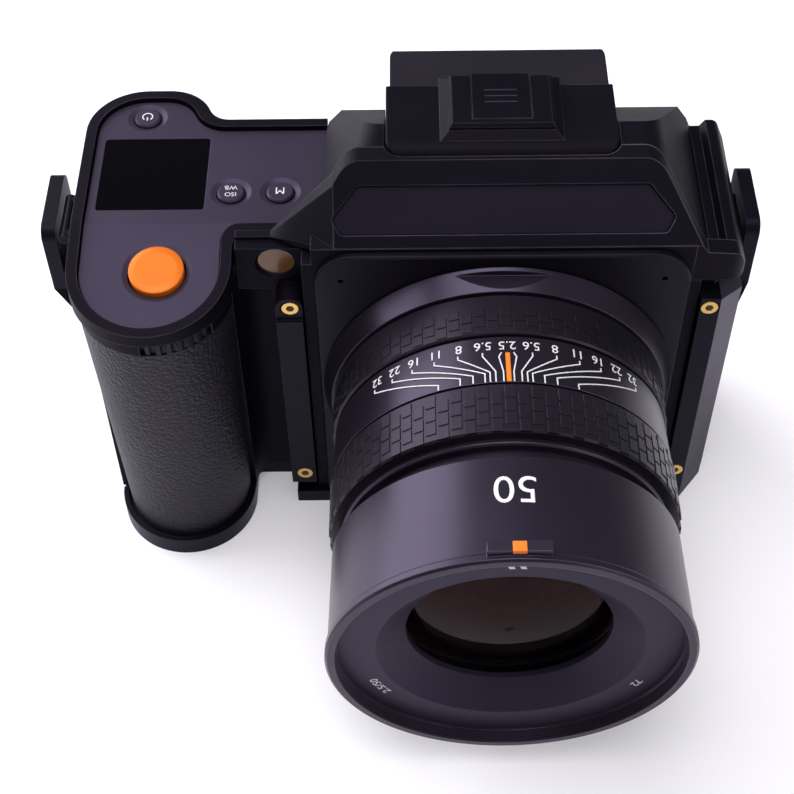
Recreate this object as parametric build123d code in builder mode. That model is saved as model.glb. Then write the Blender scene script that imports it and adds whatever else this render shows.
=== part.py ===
from build123d import *
from math import cos, pi, radians, sin, tan
import os

os.makedirs("parts", exist_ok=True)

# Medium format digital camera with its lens, in millimetres.
# The origin is the mouth of the tripod socket in the base. The lens axis lies over it,
# along y, with the front towards -y. The grip is on the -x side and +z is up.

# Gap between pieces that slide or turn against each other
running_gap = 0.08
# Gap round pieces that only have to clear their neighbours
free_gap = 0.3
# Small bevel on the edges of thin covers
edge_break = 0.4

# Main places of the body
axis_height = 47.0
plate_front = 24.0
plate_thick = 1.6
block_front = plate_front - plate_thick
body_right = 52.7
body_rear = 20.0
seam_rear = 13.0
base_thick = 4.0
chassis_top = 80.0
deck_rise = 5.3
rim_proud = 1.2
wall = 2.0

# Grip, in plan a half circle on straight flanks, larger at the top than at the base
grip_flank = 59.1
grip_flank_low = 60.6
grip_radius_low = 15.0
grip_radius_high = 17.1
grip_nose_low = 22.0
grip_nose_high = 19.5
leather_thick = 1.2
leather_top = 73.0

# Lipped cup round the foot of the grip
cup_middle = 75.9
cup_radius = 16.7
cup_nose = 22.5
cup_height = 5.2
cup_lip = 1.2

# Finger recess between the grip and the mount block
recess_wall = 14.6
recess_corner = 6.0
block_half = 43.2
lamp_face = 17.3
shoulder_left = 50.2
chamfer_start = 46.8
chamfer_end = 11.7
chassis_floor = 1.8

# Mount plate and bayonet
plate_half = 40.7
plate_low = 4.4
plate_rise = 9.5
plate_corner = 9.0
plate_foot_corner = 2.0
plate_pin_x = 34.8
plate_pin_z = 82.3
plate_pin_radius = 0.65
mount_ring_radius = 35.5
throat_radius = 30.4
mount_ring_depth = 4.4
mount_lug_reach = 1.9
mount_lug_thick = 1.5
mount_lug_count = 3
mount_lug_angle = 50.0
lens_tube_radius = 28.0

# Lens release button
release_x = 37.6
release_z = 11.6
release_radius = 3.6
release_proud = 1.6
release_length = 6.4

# Sensor assembly
sensor_depth = 18.3
sensor_width = 43.8
sensor_height = 32.9
glass_margin = 2.6
glass_thick = 2.0
stage_margin = 6.0
stage_thick = 3.0
stage_travel = 1.2
stage_frame_side = 6.0
stage_frame_depth = 6.2
stage_post_radius = 2.4
stage_post_inset = 3.2
chassis_wall_inner = 10.6

# Main board
board_thick = 1.2
board_width = 84.0
board_height = 56.0
board_gap = 1.4

# Cage arms, front strips and brass screws
arm_thick = 3.2
arm_low = 64.5
arm_high = 83.0
arm_front = 9.0
arm_rear = 11.0
left_arm_out = 101.5
left_strap_waist = 2.8
left_waist = 57.0
left_strap_thick = 2.2
left_strap_front_low = 22.0
left_strap_front_high = 12.0
left_strap_rear = 4.0
right_arm_out = 57.6
right_side_out = 54.3
right_waist = 60.0
right_side_rear = 0.4
right_side_front = 14.0
arm_bend = 2.0
arm_corner = 3.0
slot_length = 12.0
slot_low = 72.0
slot_high = 78.6
strip_low = 8.6
strip_high = 75.5
strip_left_out = 49.6
strip_left_in = 43.6
strip_thick = 4.0
strip_neck = 69.0
strip_step = 0.9
strip_right_in = 43.6
strip_right_bend = 48.0
strip_right_drop = 5.0
screw_x = 45.7
screw_left_x = 46.3
screw_high = 72.7
screw_low = 12.35
screw_head_radius = 1.9
screw_head_depth = 1.3
screw_shank_radius = 0.95
screw_length = 9.0

# Four screws under the base
base_screw_x = 40.0
base_screw_y = 8.4

# Strap lugs on the body's sides
lug_bar_radius = 1.3
lug_length = 13.0
lug_rear = 4.0
lug_rise = 2.4
lug_stand = 2.4

# Tripod bush
bush_radius = 6.0
bush_flange_radius = 8.0
bush_flange_thick = 1.2
bush_height = 6.4
tripod_radius = 3.175
tripod_depth = 5.6

# Battery and its catch
battery_width = 22.0
battery_length = 34.0
battery_height = 60.0
battery_corner = 6.0
battery_middle = 75.8
battery_centre = 12.5
battery_cap_thick = 2.4
battery_cap_margin = 1.4
catch_width = 9.0
catch_length = 5.0
catch_thick = 1.8
catch_travel = 2.5

# Top cover: control deck, hump and right shoulder
deck_left = 94.0
deck_flank = 58.4
deck_nose = 20.7
deck_lobe_drop = 7.1
deck_front = 12.4
deck_slope = 10.0
deck_bend = 9.0
deck_rim_width = 2.4
deck_rear = 23.4
thumb_rear = 33.6
thumb_radius = 13.4
thumb_inner_radius = 10.5
thumb_inner = 68.2
thumb_neck = 64.8
thumb_neck_radius = 5.0
deck_inner_radius = 4.0
panel_thick = 1.2
hump_half_top = 33.0
hump_left_foot = 46.0
hump_right_foot = 43.6
hump_neck = 38.5
hump_turn = 1.0
hump_rear_shift = 8.0
brow_tall = 13.3
hump_top_radius = 6.0
hump_foot_rise = 8.5
hump_flat = 2.0
hump_rear_rise = 3.5
shoulder_dip_in = 44.6
shoulder_dip_out = 46.8
shoulder_dip_rise = 6.2
shoulder_rim_out = 50.4
shoulder_rim_rise = 1.8
shoulder_rise = 2.5
cover_wall = 2.0

# Brow round the blank name panel
brow_step = 1.0
brow_top_front = 9.4
brow_thick = 4.2
brow_wing_rise = 5.6
brow_wing_front = 14.4
brow_wing_left = 57.8
brow_wing_start = 50.0
brow_turn_start = 36.0
brow_inner = 41.0
brow_bar = 0.8
block_shoulder_rise = 6.0
name_low = 2.9
name_waist = 6.3
name_high = 13.3
name_half_low = 34.6
name_half_waist = 36.5
name_half_high = 30.8
name_depth = 1.6
name_panel_thick = 0.8

# Viewfinder
finder_proud = 0.8
finder_deep = 17.6
finder_half = 24.8
finder_front = 8.0
finder_split = 13.2
finder_rear = 26.8
finder_corner = 4.0
finder_wall = 1.6
eyecup_half = 23.9
eyecup_bevel = 1.8
eyecup_drop = 22.6
eyepiece_drop = 10.1
eyepiece_thick = 3.4
eyepiece_sink = 3.0
eye_window_half = 14.0
eye_window_rise = 9.0

# Accessory shoe and its sliding cover
shoe_half = 13.3
shoe_front = 4.8
shoe_length = 20.6
shoe_slope = 2.0
shoe_rise = 1.4
shoe_taper = 55.0
shoe_throat_half = 9.35
shoe_slot_half = 6.4
shoe_slot_high = 2.0
shoe_lip_thick = 0.8
shoe_edge = 0.7

# Buttons of the control deck
shutter_x = 74.5
shutter_y = 21.4
shutter_radius = 6.0
shutter_proud = 1.2
shutter_skirt = 3.2
shutter_dome = 0.7
shutter_travel = 1.2
power_x = 80.5
power_y = 25.6
iso_x = 59.6
mode_x = 48.6
pair_y = 0.6
button_radius = 3.1
button_proud = 0.3
button_skirt = 2.6
button_travel = 0.7
button_gap = 0.2
dish_width = 1.3
dish_depth = 0.5
lcd_left = 89.4
lcd_right = 65.3
lcd_front = 4.7
lcd_rear = 18.3
lcd_thick = 0.8
lcd_corner = 0.8

# Front dial in the grip's band and rear dial under the deck
dial_x = 73.8
dial_y = 25.2
dial_radius = 11.6
dial_rise = 0.5
dial_thick = 4.1
axle_radius = 2.0
axle_length = 3.6
dial_teeth = 30
dial_tooth = 0.7
dial_slot_gap = 0.4
rear_dial_x = 62.0
rear_dial_y = 15.6
rear_dial_radius = 9.4
rear_dial_drop = 5.0
rear_dial_thick = 3.2

# Focus assist lamp beside the mount plate
lamp_x = 49.1
lamp_rise = 0.9
lamp_funnel_radius = 4.6
lamp_funnel_taper = 35.0
lamp_mouth_wall = 0.3
lamp_radius = 3.4
lamp_depth = 1.0
lamp_glass_thick = 1.2
lamp_seat = 0.6

# Rear side
screen_left = 41.0
screen_right = 47.0
screen_low = 10.0
screen_high = 72.0
screen_thick = 5.2
screen_corner = 2.5
screen_proud = 0.8
screen_glass_thick = 0.9
screen_glass_margin = 2.6
screen_floor = 1.4
hinge_pin_radius = 0.8
hinge_pin_reach = 2.8
rear_button_x = 51.0
rear_button_radius = 2.9
rear_button_length = 3.4
rear_button_proud = 0.8
rear_button_travel = 0.6
play_z = 22.0
menu_z = 34.0
focus_z = 64.0
stick_z = 50.0
stick_depth = 3.8
stick_cap_radius = 2.5
stick_cap_thick = 1.6
stick_proud = 1.2
stick_hub_radius = 1.9
stick_hub_length = 2.6
stick_neck_radius = 1.2
stick_well_radius = 4.4
stick_ring_radius = 3.7
stick_ring_inner = 2.5
stick_ring_thick = 1.8
stick_pin_radius = 0.5
stick_pin_seat = 1.0
thumb_low = 40.0
thumb_bend_height = 62.0
thumb_bend_reach = 3.4
thumb_reach = 11.0
thumb_rest_left = 91.5
thumb_rest_right = 69.2
thumb_rest_corner = 9.0

# Connector door on the side away from the grip
door_front = 1.0
door_rear = 11.0
door_low = 18.0
door_high = 56.0
door_thick = 1.6
door_pin_radius = 0.45
door_knuckle = 4.0
port_margin = 1.4
port_thick = 2.0
port_width = 3.4
port_length = 9.2
port_low_z = 26.0
port_high_z = 42.0
jack_radius = 1.9
jack_z = 51.0

# Lens, measured forward from the mount plate
collar_radius = 39.9
collar_front_radius = 38.0
collar_length = 5.7
collar_scallop_half = 11.6
collar_scallop_depth = 0.7
collar_scallop_length = 4.4
control_start = 5.9
control_end = 16.7
control_radius = 37.4
core_radius = 33.0
core_wall = 2.0
core_end = 64.0
scale_start = 17.4
scale_end = 29.8
scale_radius_rear = 36.9
scale_radius_front = 37.4
clutch_radius = 35.2
focus_start = 30.2
focus_end = 42.5
focus_radius = 37.6
barrel_start = 48.3
barrel_radius_rear = 37.0
barrel_end = 70.6
front_radius = 38.0
lens_length = 72.9
filter_radius = 36.0
filter_depth = 3.1
filter_groove = 0.5
bezel_flat = 27.6
bezel_opening = 21.4
bezel_drop = 5.0
bezel_thick = 1.4
bezel_seat = 0.5
tab_width = 12.2
tab_start = 69.4
tab_length = 2.3
tab_height = 1.4

# Optics
front_glass_radius = 23.0
front_glass_place = 58.2
front_glass_crown = 4.2
rear_tube_radius = 20.6
rear_tube_reach = 8.6
bayonet_reach = 3.4
bayonet_floor = 2.0
bayonet_flange_radius = 36.5
bayonet_flange_thick = 2.0
lens_lug_radius = 30.1
bayonet_bore = 27.0
collar_cut = 2.4
clutch_end = 43.8
second_glass_radius = 19.0
second_glass_place = 47.5
middle_glass_radius = 17.0
middle_glass_place = 24.0
rear_glass_radius = 19.0
rear_glass_place = -6.0
glass_edge = 2.4
glass_crown = 2.2
iris_place = 34.0
iris_thick = 0.5
iris_blades = 9
iris_opening = 13.0
iris_housing_thick = 4.2
iris_inner = 16.0

# Heights, and places of the lens front, that build on the sizes above
deck_height = chassis_top + deck_rise
rim_height = deck_height + rim_proud
deck_lobe_low = deck_height - deck_lobe_drop
rear_dial_low = deck_height - rear_dial_drop
lug_height = deck_lobe_low + lug_rise
dial_low = leather_top + dial_rise
lamp_z = chassis_top + lamp_rise
plate_high = chassis_top + plate_rise
brow_low = plate_high + brow_step
brow_wing_low = chassis_top + brow_wing_rise
block_shoulder = chassis_top + block_shoulder_rise
hump_top = brow_low + brow_tall
hump_foot = chassis_top + hump_foot_rise
hump_rear_height = hump_foot + hump_rear_rise
shoulder_dip = chassis_top + shoulder_dip_rise
shoulder_rim = shoulder_dip + shoulder_rim_rise
shoulder_outer = chassis_top + shoulder_rise
finder_height = hump_top + finder_proud
finder_low = finder_height - finder_deep
eyecup_low = finder_height - eyecup_drop
eyepiece_height = finder_height - eyepiece_drop
bezel_front = lens_length - filter_depth
bezel_radius = filter_radius - bezel_seat

# Places worked out from the sizes above
mouth_top = base_thick + chassis_floor
sensor_plane = -plate_front + sensor_depth
door_axis_x = body_right - door_thick / 2
door_axis_y = door_rear - free_gap - door_thick / 2
catch_y = -battery_centre + battery_length / 2 + battery_cap_margin + catch_length
base_screw_places = [
    (base_screw_x, base_screw_y),
    (base_screw_x, -base_screw_y),
    (-base_screw_x, base_screw_y),
    (-base_screw_x, -base_screw_y),
]
deck_middle = (deck_left + deck_flank) / 2
deck_radius = deck_left - deck_middle
deck_tan = tan(radians(deck_slope))


# Workplanes and axes of the lens, with distances counted forward from the mount plate
mount_face = Plane(origin=(0, -plate_front, axis_height), x_dir=(1, 0, 0), z_dir=(0, -1, 0))
lens_section = Plane(origin=(0, -plate_front, axis_height), x_dir=(1, 0, 0), z_dir=(0, 0, -1))
lens_axis = Axis((0, -plate_front, axis_height), (0, -1, 0))


def grip_plan(plane, flank, radius, nose, rear, inset=0.0):
    """Plan of the grip: a half circle in front of straight flanks."""
    middle = -flank - radius
    side = radius - inset
    with BuildSketch(plane) as plan:
        with BuildLine():
            Polyline(
                (middle - side, -nose),
                (middle - side, rear - inset),
                (middle + side, rear - inset),
                (middle + side, -nose),
            )
            ThreePointArc((middle + side, -nose), (middle, -nose - side), (middle - side, -nose))
        make_face()
    return plan.sketch


def grip_solid(rear, inset=0.0):
    """Grip between the base and the dial band, widening towards the top."""
    foot = grip_plan(
        Plane.XY.offset(base_thick), grip_flank_low, grip_radius_low, grip_nose_low, rear, inset
    )
    head = grip_plan(
        Plane.XY.offset(leather_top), grip_flank, grip_radius_high, grip_nose_high, rear, inset
    )
    with BuildPart() as solid:
        loft(sections=[foot, head], ruled=True)
    return solid.part


def grip_wall_x(height):
    """Distance of the grip's outer flank from the lens axis at a height."""
    foot = grip_flank_low + 2 * grip_radius_low
    head = grip_flank + 2 * grip_radius_high
    return foot + (head - foot) * (height - base_thick) / (leather_top - base_thick)


def ring_segment(outer, inner, angle):
    """Sector of a flat ring, from the x axis round to an angle."""
    with BuildSketch() as segment:
        with BuildLine():
            outer_arc = CenterArc((0, 0), outer, 0, angle)
            inner_arc = CenterArc((0, 0), inner, 0, angle)
            Line(outer_arc @ 0, inner_arc @ 0)
            Line(outer_arc @ 1, inner_arc @ 1)
        make_face()
    return segment.sketch


def lens_ring(points, axis=lens_axis):
    """Solid of revolution about the lens axis from (radius, distance) points."""
    with BuildPart() as ring:
        with BuildSketch(lens_section):
            with BuildLine():
                Polyline(*points, close=True)
            make_face()
        revolve(axis=axis)
    return ring.part


def rounded_box(plane, width, height, corner, centre, depth):
    """Plate with rounded corners, from a plane and the centre of its outline on it."""
    with BuildPart() as plate:
        with BuildSketch(plane):
            with Locations(centre):
                RectangleRounded(width, height, corner)
        extrude(amount=depth)
    return plate.part


# Base of the cage: a flat plate under the body and a lipped cup round the foot of the grip
with BuildPart() as cage_base:
    with BuildSketch(Plane.XY):
        with BuildLine():
            FilletPolyline(
                (-cup_middle - cup_radius, body_rear),
                (-cup_middle - cup_radius, -cup_nose),
                (-cup_middle + cup_radius, -cup_nose),
                (-cup_middle + cup_radius, -recess_wall),
                (-strip_left_out + strip_step, -recess_wall),
                (-strip_left_out + strip_step, -plate_front + free_gap),
                (strip_right_bend, -plate_front + free_gap),
                (right_side_out, -chamfer_end - strip_thick),
                (right_side_out, body_rear),
                radius=(cup_lip, 0, 0, cup_lip, 0, 0, cup_lip, cup_lip, cup_lip),
                close=True,
            )
        make_face()
        with BuildLine():
            ThreePointArc(
                (-cup_middle - cup_radius, -cup_nose),
                (-cup_middle, -cup_nose - cup_radius),
                (-cup_middle + cup_radius, -cup_nose),
            )
            Line((-cup_middle + cup_radius, -cup_nose), (-cup_middle - cup_radius, -cup_nose))
        make_face()
    extrude(amount=base_thick)
    with BuildSketch(Plane.XY):
        with BuildLine():
            ThreePointArc(
                (-cup_middle - cup_radius, -cup_nose),
                (-cup_middle, -cup_nose - cup_radius),
                (-cup_middle + cup_radius, -cup_nose),
            )
            ThreePointArc(
                (-cup_middle + cup_radius - cup_lip, -cup_nose),
                (-cup_middle, -cup_nose - cup_radius + cup_lip),
                (-cup_middle - cup_radius + cup_lip, -cup_nose),
            )
            Line(
                (-cup_middle + cup_radius, -cup_nose),
                (-cup_middle + cup_radius - cup_lip, -cup_nose),
            )
            Line(
                (-cup_middle - cup_radius, -cup_nose),
                (-cup_middle - cup_radius + cup_lip, -cup_nose),
            )
        make_face()
    extrude(amount=cup_height)
    with BuildSketch(Plane.XY):
        with Locations((-battery_middle, -battery_centre)):
            RectangleRounded(
                battery_width + 2 * battery_cap_margin + 2 * free_gap,
                battery_length + 2 * battery_cap_margin + 2 * free_gap,
                battery_corner + battery_cap_margin,
            )
        with Locations((-battery_middle, catch_y)):
            Rectangle(catch_width + 2 * free_gap, catch_length + 2 * free_gap + catch_travel)
    extrude(amount=base_thick, mode=Mode.SUBTRACT)
    with BuildSketch(Plane.XY):
        Circle(bush_radius)
    extrude(amount=base_thick, mode=Mode.SUBTRACT)
    with BuildSketch(Plane.XY):
        Circle(bush_flange_radius)
    extrude(amount=bush_flange_thick, mode=Mode.SUBTRACT)
    with BuildSketch(Plane.XY):
        with Locations(*base_screw_places):
            Circle(screw_head_radius + free_gap)
    extrude(amount=screw_head_depth + free_gap, mode=Mode.SUBTRACT)
    with BuildSketch(Plane.XY):
        with Locations(*base_screw_places):
            Circle(screw_shank_radius + running_gap)
    extrude(amount=base_thick, mode=Mode.SUBTRACT)
cage_base.part.label = "cage_base"
export_step(cage_base.part, "parts/cage_base.step")

# Tripod bush, a flanged insert with the threaded socket
with BuildPart() as tripod_bush:
    Cylinder(bush_flange_radius, bush_flange_thick, align=(Align.CENTER, Align.CENTER, Align.MIN))
    Cylinder(bush_radius, bush_height, align=(Align.CENTER, Align.CENTER, Align.MIN))
    Cylinder(
        tripod_radius,
        tripod_depth,
        align=(Align.CENTER, Align.CENTER, Align.MIN),
        mode=Mode.SUBTRACT,
    )
tripod_bush.part.label = "tripod_bush"
export_step(tripod_bush.part, "parts/tripod_bush.step")

# Grip core, with the battery bay open at the foot
with BuildPart() as grip_core:
    add(grip_solid(body_rear, leather_thick))
    with BuildSketch(Plane.XY.offset(base_thick)):
        with Locations((-battery_middle, -battery_centre)):
            RectangleRounded(
                battery_width + 2 * free_gap, battery_length + 2 * free_gap, battery_corner
            )
    extrude(amount=battery_height + free_gap, mode=Mode.SUBTRACT)
    with BuildSketch(Plane.XY.offset(base_thick)):
        with Locations((-battery_middle, catch_y)):
            Rectangle(catch_width + 2 * free_gap, catch_length + 2 * free_gap + catch_travel)
    extrude(amount=catch_thick + free_gap, mode=Mode.SUBTRACT)
    with BuildSketch(Plane.XY.offset(leather_top)):
        with Locations((-dial_x, -dial_y)):
            Circle(axle_radius + running_gap)
    extrude(amount=-axle_length - free_gap, mode=Mode.SUBTRACT)
grip_core.part.label = "grip_core"
export_step(grip_core.part, "parts/grip_core.step")

# Battery: the cell pack that slides up into the grip, with its cap flush in the base
with BuildPart() as battery:
    with BuildSketch(Plane.XY.offset(battery_cap_thick + free_gap)):
        with Locations((-battery_middle, -battery_centre)):
            RectangleRounded(battery_width, battery_length, battery_corner)
    extrude(amount=battery_height - battery_cap_thick + free_gap)
    fillet(battery.faces().sort_by(Axis.Z)[-1].edges(), free_gap)
    with BuildSketch(Plane.XY.offset(free_gap)):
        with Locations((-battery_middle, -battery_centre)):
            RectangleRounded(
                battery_width + 2 * battery_cap_margin,
                battery_length + 2 * battery_cap_margin,
                battery_corner + battery_cap_margin,
            )
    extrude(amount=battery_cap_thick)
    chamfer(battery.faces().sort_by(Axis.Z)[0].edges(), edge_break)
battery.part.label = "battery"
export_step(battery.part, "parts/battery.step")

# Battery catch, a small slide behind the battery cap
with BuildPart() as battery_catch:
    with BuildSketch(Plane.XY.offset(free_gap)):
        with Locations((-battery_middle, catch_y - catch_travel / 2)):
            Rectangle(catch_width, catch_length)
    extrude(amount=base_thick - free_gap)
    with BuildSketch(Plane.XY.offset(free_gap)):
        with Locations((-battery_middle, catch_y - catch_travel / 2)):
            Rectangle(catch_width - 2 * edge_break, catch_length / 3)
    extrude(amount=edge_break, mode=Mode.SUBTRACT)
battery_catch.part.label = "battery_catch"
export_step(battery_catch.part, "parts/battery_catch.step")


def chassis_plan(plane, inset=0.0):
    """Plan of the chassis: finger recess, lamp shoulder, mount block and chamfered side."""
    with BuildSketch(plane) as plan:
        with BuildLine():
            outline = Polyline(
                (-grip_flank + recess_corner, -recess_wall + inset),
                (-shoulder_left + inset, -recess_wall + inset),
                (-shoulder_left + inset, -lamp_face + inset),
                (-block_half + inset, -lamp_face + inset),
                (-block_half + inset, -block_front + inset),
                (block_half - inset, -block_front + inset),
                (block_half - inset, -plate_front + strip_thick + inset),
                (chamfer_start - inset, -plate_front + strip_thick + inset),
                (body_right - inset, -chamfer_end + inset),
                (body_right - inset, seam_rear),
                (-grip_flank - 2 * leather_thick, seam_rear),
                (-grip_flank - 2 * leather_thick, -recess_wall - recess_corner),
                (-grip_flank, -recess_wall - recess_corner),
            )
            RadiusArc(outline @ 1, outline @ 0, recess_corner)
        make_face()
    return plan.sketch


# Prisms of the dial band and of the deck's lobe over the grip
band = grip_plan(
    Plane.XY.offset(leather_top), grip_flank, grip_radius_high, grip_nose_high, body_rear
)
lobe = grip_plan(
    Plane.XY.offset(deck_lobe_low), deck_flank, deck_radius, deck_nose, body_rear
)

# Front chassis: mount block, finger recess and the lamp's face, hollow and open to the rear
with BuildPart() as chassis:
    extrude(chassis_plan(Plane.XY.offset(base_thick)), amount=chassis_top - base_thick)
    add(grip_solid(body_rear, leather_thick), mode=Mode.SUBTRACT)
    extrude(band, amount=chassis_top - leather_top, mode=Mode.SUBTRACT)
    extrude(lobe, amount=chassis_top - deck_lobe_low, mode=Mode.SUBTRACT)
    with BuildSketch(Plane.XY.offset(chassis_top)):
        with Locations((0, -block_front)):
            Rectangle(2 * brow_inner, brow_thick, align=(Align.CENTER, Align.MIN))
    extrude(amount=brow_low - chassis_top)
    with BuildSketch(Plane.XY.offset(chassis_top)):
        with Locations((-block_half, -block_front)):
            Rectangle(block_half - brow_inner, brow_thick, align=(Align.MIN, Align.MIN))
    extrude(amount=block_shoulder - chassis_top)
    with BuildSketch(Plane.XY.offset(leather_top)):
        with BuildLine():
            Polyline(
                (-block_half, -lamp_face),
                (-brow_wing_left, -lamp_face),
                (-brow_wing_left, -deck_front - free_gap),
                (-block_half, -deck_front - free_gap),
                close=True,
            )
        make_face()
    extrude(amount=brow_wing_low - leather_top)
    with BuildSketch(Plane.XY.offset(mouth_top)):
        with BuildLine():
            Polyline(
                (-grip_flank + 2 * wall, seam_rear),
                (-grip_flank + 2 * wall, -recess_wall + 2 * wall),
                (-block_half + wall, -recess_wall + 2 * wall),
                (body_right - wall, -recess_wall + 2 * wall),
                (body_right - wall, seam_rear),
                close=True,
            )
        make_face()
    extrude(amount=chassis_top - cover_wall - mouth_top, mode=Mode.SUBTRACT)
    with BuildSketch(mount_face.offset(-plate_thick)):
        Circle(throat_radius)
    extrude(amount=-block_front, mode=Mode.SUBTRACT)
    with BuildSketch(mount_face.offset(-plate_thick)):
        Circle(mount_ring_radius)
    extrude(amount=plate_thick - mount_ring_depth, mode=Mode.SUBTRACT)
    with BuildSketch(Plane.XY.offset(base_thick)):
        Circle(bush_radius + free_gap)
    extrude(amount=bush_height - base_thick + free_gap, mode=Mode.SUBTRACT)
    with BuildSketch(Plane.XZ.offset(lamp_face)):
        with Locations((-lamp_x, lamp_z)):
            Circle(lamp_radius + lamp_seat)
    extrude(amount=-(lamp_depth + lamp_glass_thick), mode=Mode.SUBTRACT)
    with BuildSketch(Plane.XZ.offset(lamp_face)):
        with Locations((-lamp_x, lamp_z)):
            Circle(lamp_funnel_radius)
    extrude(
        amount=-(lamp_depth - lamp_mouth_wall), taper=lamp_funnel_taper, mode=Mode.SUBTRACT
    )
    with BuildSketch(Plane.XZ.offset(plate_front)):
        with Locations((release_x, release_z)):
            Circle(release_radius + running_gap)
    extrude(amount=-plate_front, mode=Mode.SUBTRACT)
    with BuildSketch(Plane.YZ.offset(body_right)):
        with BuildLine():
            Polyline(
                (door_front, door_low),
                (door_rear, door_low),
                (door_rear, door_high),
                (door_front, door_high),
                close=True,
            )
        make_face()
    extrude(amount=-2 * wall, mode=Mode.SUBTRACT)
    with BuildSketch(Plane.XZ.offset(plate_front)):
        with Locations(
            (-screw_left_x, screw_high),
            (-screw_left_x, screw_low),
            (screw_x, screw_high),
            (screw_x, screw_low),
        ):
            Circle(screw_shank_radius + running_gap)
    extrude(amount=-screw_length - free_gap, mode=Mode.SUBTRACT)
    with BuildSketch(Plane.XZ.offset(block_front)):
        with Locations((-plate_pin_x, plate_pin_z), (plate_pin_x, plate_pin_z)):
            Circle(plate_pin_radius)
    extrude(amount=-plate_thick, mode=Mode.SUBTRACT)
    with BuildSketch(Plane.XY.offset(base_thick)):
        with Locations(*base_screw_places):
            Circle(screw_shank_radius + running_gap)
    extrude(amount=chassis_floor, mode=Mode.SUBTRACT)
    for pin_way in (-1, 1):
        with BuildSketch(Plane.XY.offset((door_low + door_high) / 2)):
            with Locations((door_axis_x, door_axis_y)):
                Circle(door_pin_radius + running_gap)
        extrude(
            amount=pin_way * ((door_high - door_low) / 2 + door_knuckle / 2 + free_gap),
            mode=Mode.SUBTRACT,
        )
chassis.part.label = "chassis"
export_step(chassis.part, "parts/chassis.step")

# Leather wrapped round the grip, from the cup up to the dial band
with BuildPart() as grip_leather:
    add(grip_solid(body_rear))
    add(grip_solid(body_rear, leather_thick), mode=Mode.SUBTRACT)
    extrude(
        chassis_plan(Plane.XY.offset(base_thick)),
        amount=leather_top - base_thick,
        mode=Mode.SUBTRACT,
    )
grip_leather.part.label = "grip_leather"
export_step(grip_leather.part, "parts/grip_leather.step")

# Mount plate
with BuildPart() as mount_plate:
    with BuildSketch(Plane.XZ.offset(block_front)):
        with BuildLine():
            FilletPolyline(
                (-plate_half, plate_low),
                (plate_half, plate_low),
                (plate_half, plate_high),
                (-plate_half, plate_high),
                radius=(plate_foot_corner, plate_foot_corner, plate_corner, plate_corner),
                close=True,
            )
        make_face()
        with Locations((0, axis_height)):
            Circle(mount_ring_radius, mode=Mode.SUBTRACT)
        with Locations((-plate_pin_x, plate_pin_z), (plate_pin_x, plate_pin_z)):
            Circle(plate_pin_radius, mode=Mode.SUBTRACT)
        with Locations((release_x, release_z)):
            Circle(release_radius + running_gap, mode=Mode.SUBTRACT)
    extrude(amount=plate_thick)
    front_rim = mount_plate.faces().sort_by(Axis.Y)[0].outer_wire().edges()
    chamfer(front_rim, edge_break)
mount_plate.part.label = "mount_plate"
export_step(mount_plate.part, "parts/mount_plate.step")

# Bayonet ring of the body, with inward lugs
mount_lug = ring_segment(
    throat_radius + mount_lug_reach / 2, throat_radius - mount_lug_reach, mount_lug_angle
)
with BuildPart() as mount_ring:
    with BuildSketch(mount_face):
        Circle(mount_ring_radius)
        Circle(throat_radius, mode=Mode.SUBTRACT)
    extrude(amount=-mount_ring_depth)
    with BuildSketch(mount_face):
        with PolarLocations(0, mount_lug_count):
            add(mount_lug)
    extrude(amount=-mount_lug_thick)
mount_ring.part.label = "mount_ring"
export_step(mount_ring.part, "parts/mount_ring.step")

# Lens release button, low on the mount plate
with BuildPart() as lens_release:
    with BuildSketch(Plane.XZ.offset(plate_front + release_proud)):
        with Locations((release_x, release_z)):
            Circle(release_radius)
    extrude(amount=-release_length)
    release_rim = lens_release.faces().sort_by(Axis.Y)[0].edges()
    fillet(release_rim, edge_break)
lens_release.part.label = "lens_release"
export_step(lens_release.part, "parts/lens_release.step")

# Sensor board on the stabiliser's stage, with the sensor and its cover glass in front
stage_width = sensor_width + 2 * stage_margin
stage_height = sensor_height + 2 * stage_margin
with BuildPart() as sensor_glass:
    with BuildSketch(Plane.XZ.offset(-sensor_plane - glass_thick)):
        with Locations((0, axis_height)):
            Rectangle(sensor_width + 2 * glass_margin, sensor_height + 2 * glass_margin)
    extrude(amount=glass_thick)
sensor_glass.part.label = "sensor_glass"
export_step(sensor_glass.part, "parts/sensor_glass.step")

with BuildPart() as sensor_stage:
    with BuildSketch(Plane.XZ.offset(-sensor_plane - glass_thick)):
        with Locations((0, axis_height)):
            Rectangle(stage_width, stage_height)
    extrude(amount=-stage_thick)
sensor_stage.part.label = "sensor_stage"
export_step(sensor_stage.part, "parts/sensor_stage.step")

# Main board behind the stage, standing on the frame's posts
board_rear = sensor_plane + glass_thick + stage_frame_depth + board_gap + board_thick

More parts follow.
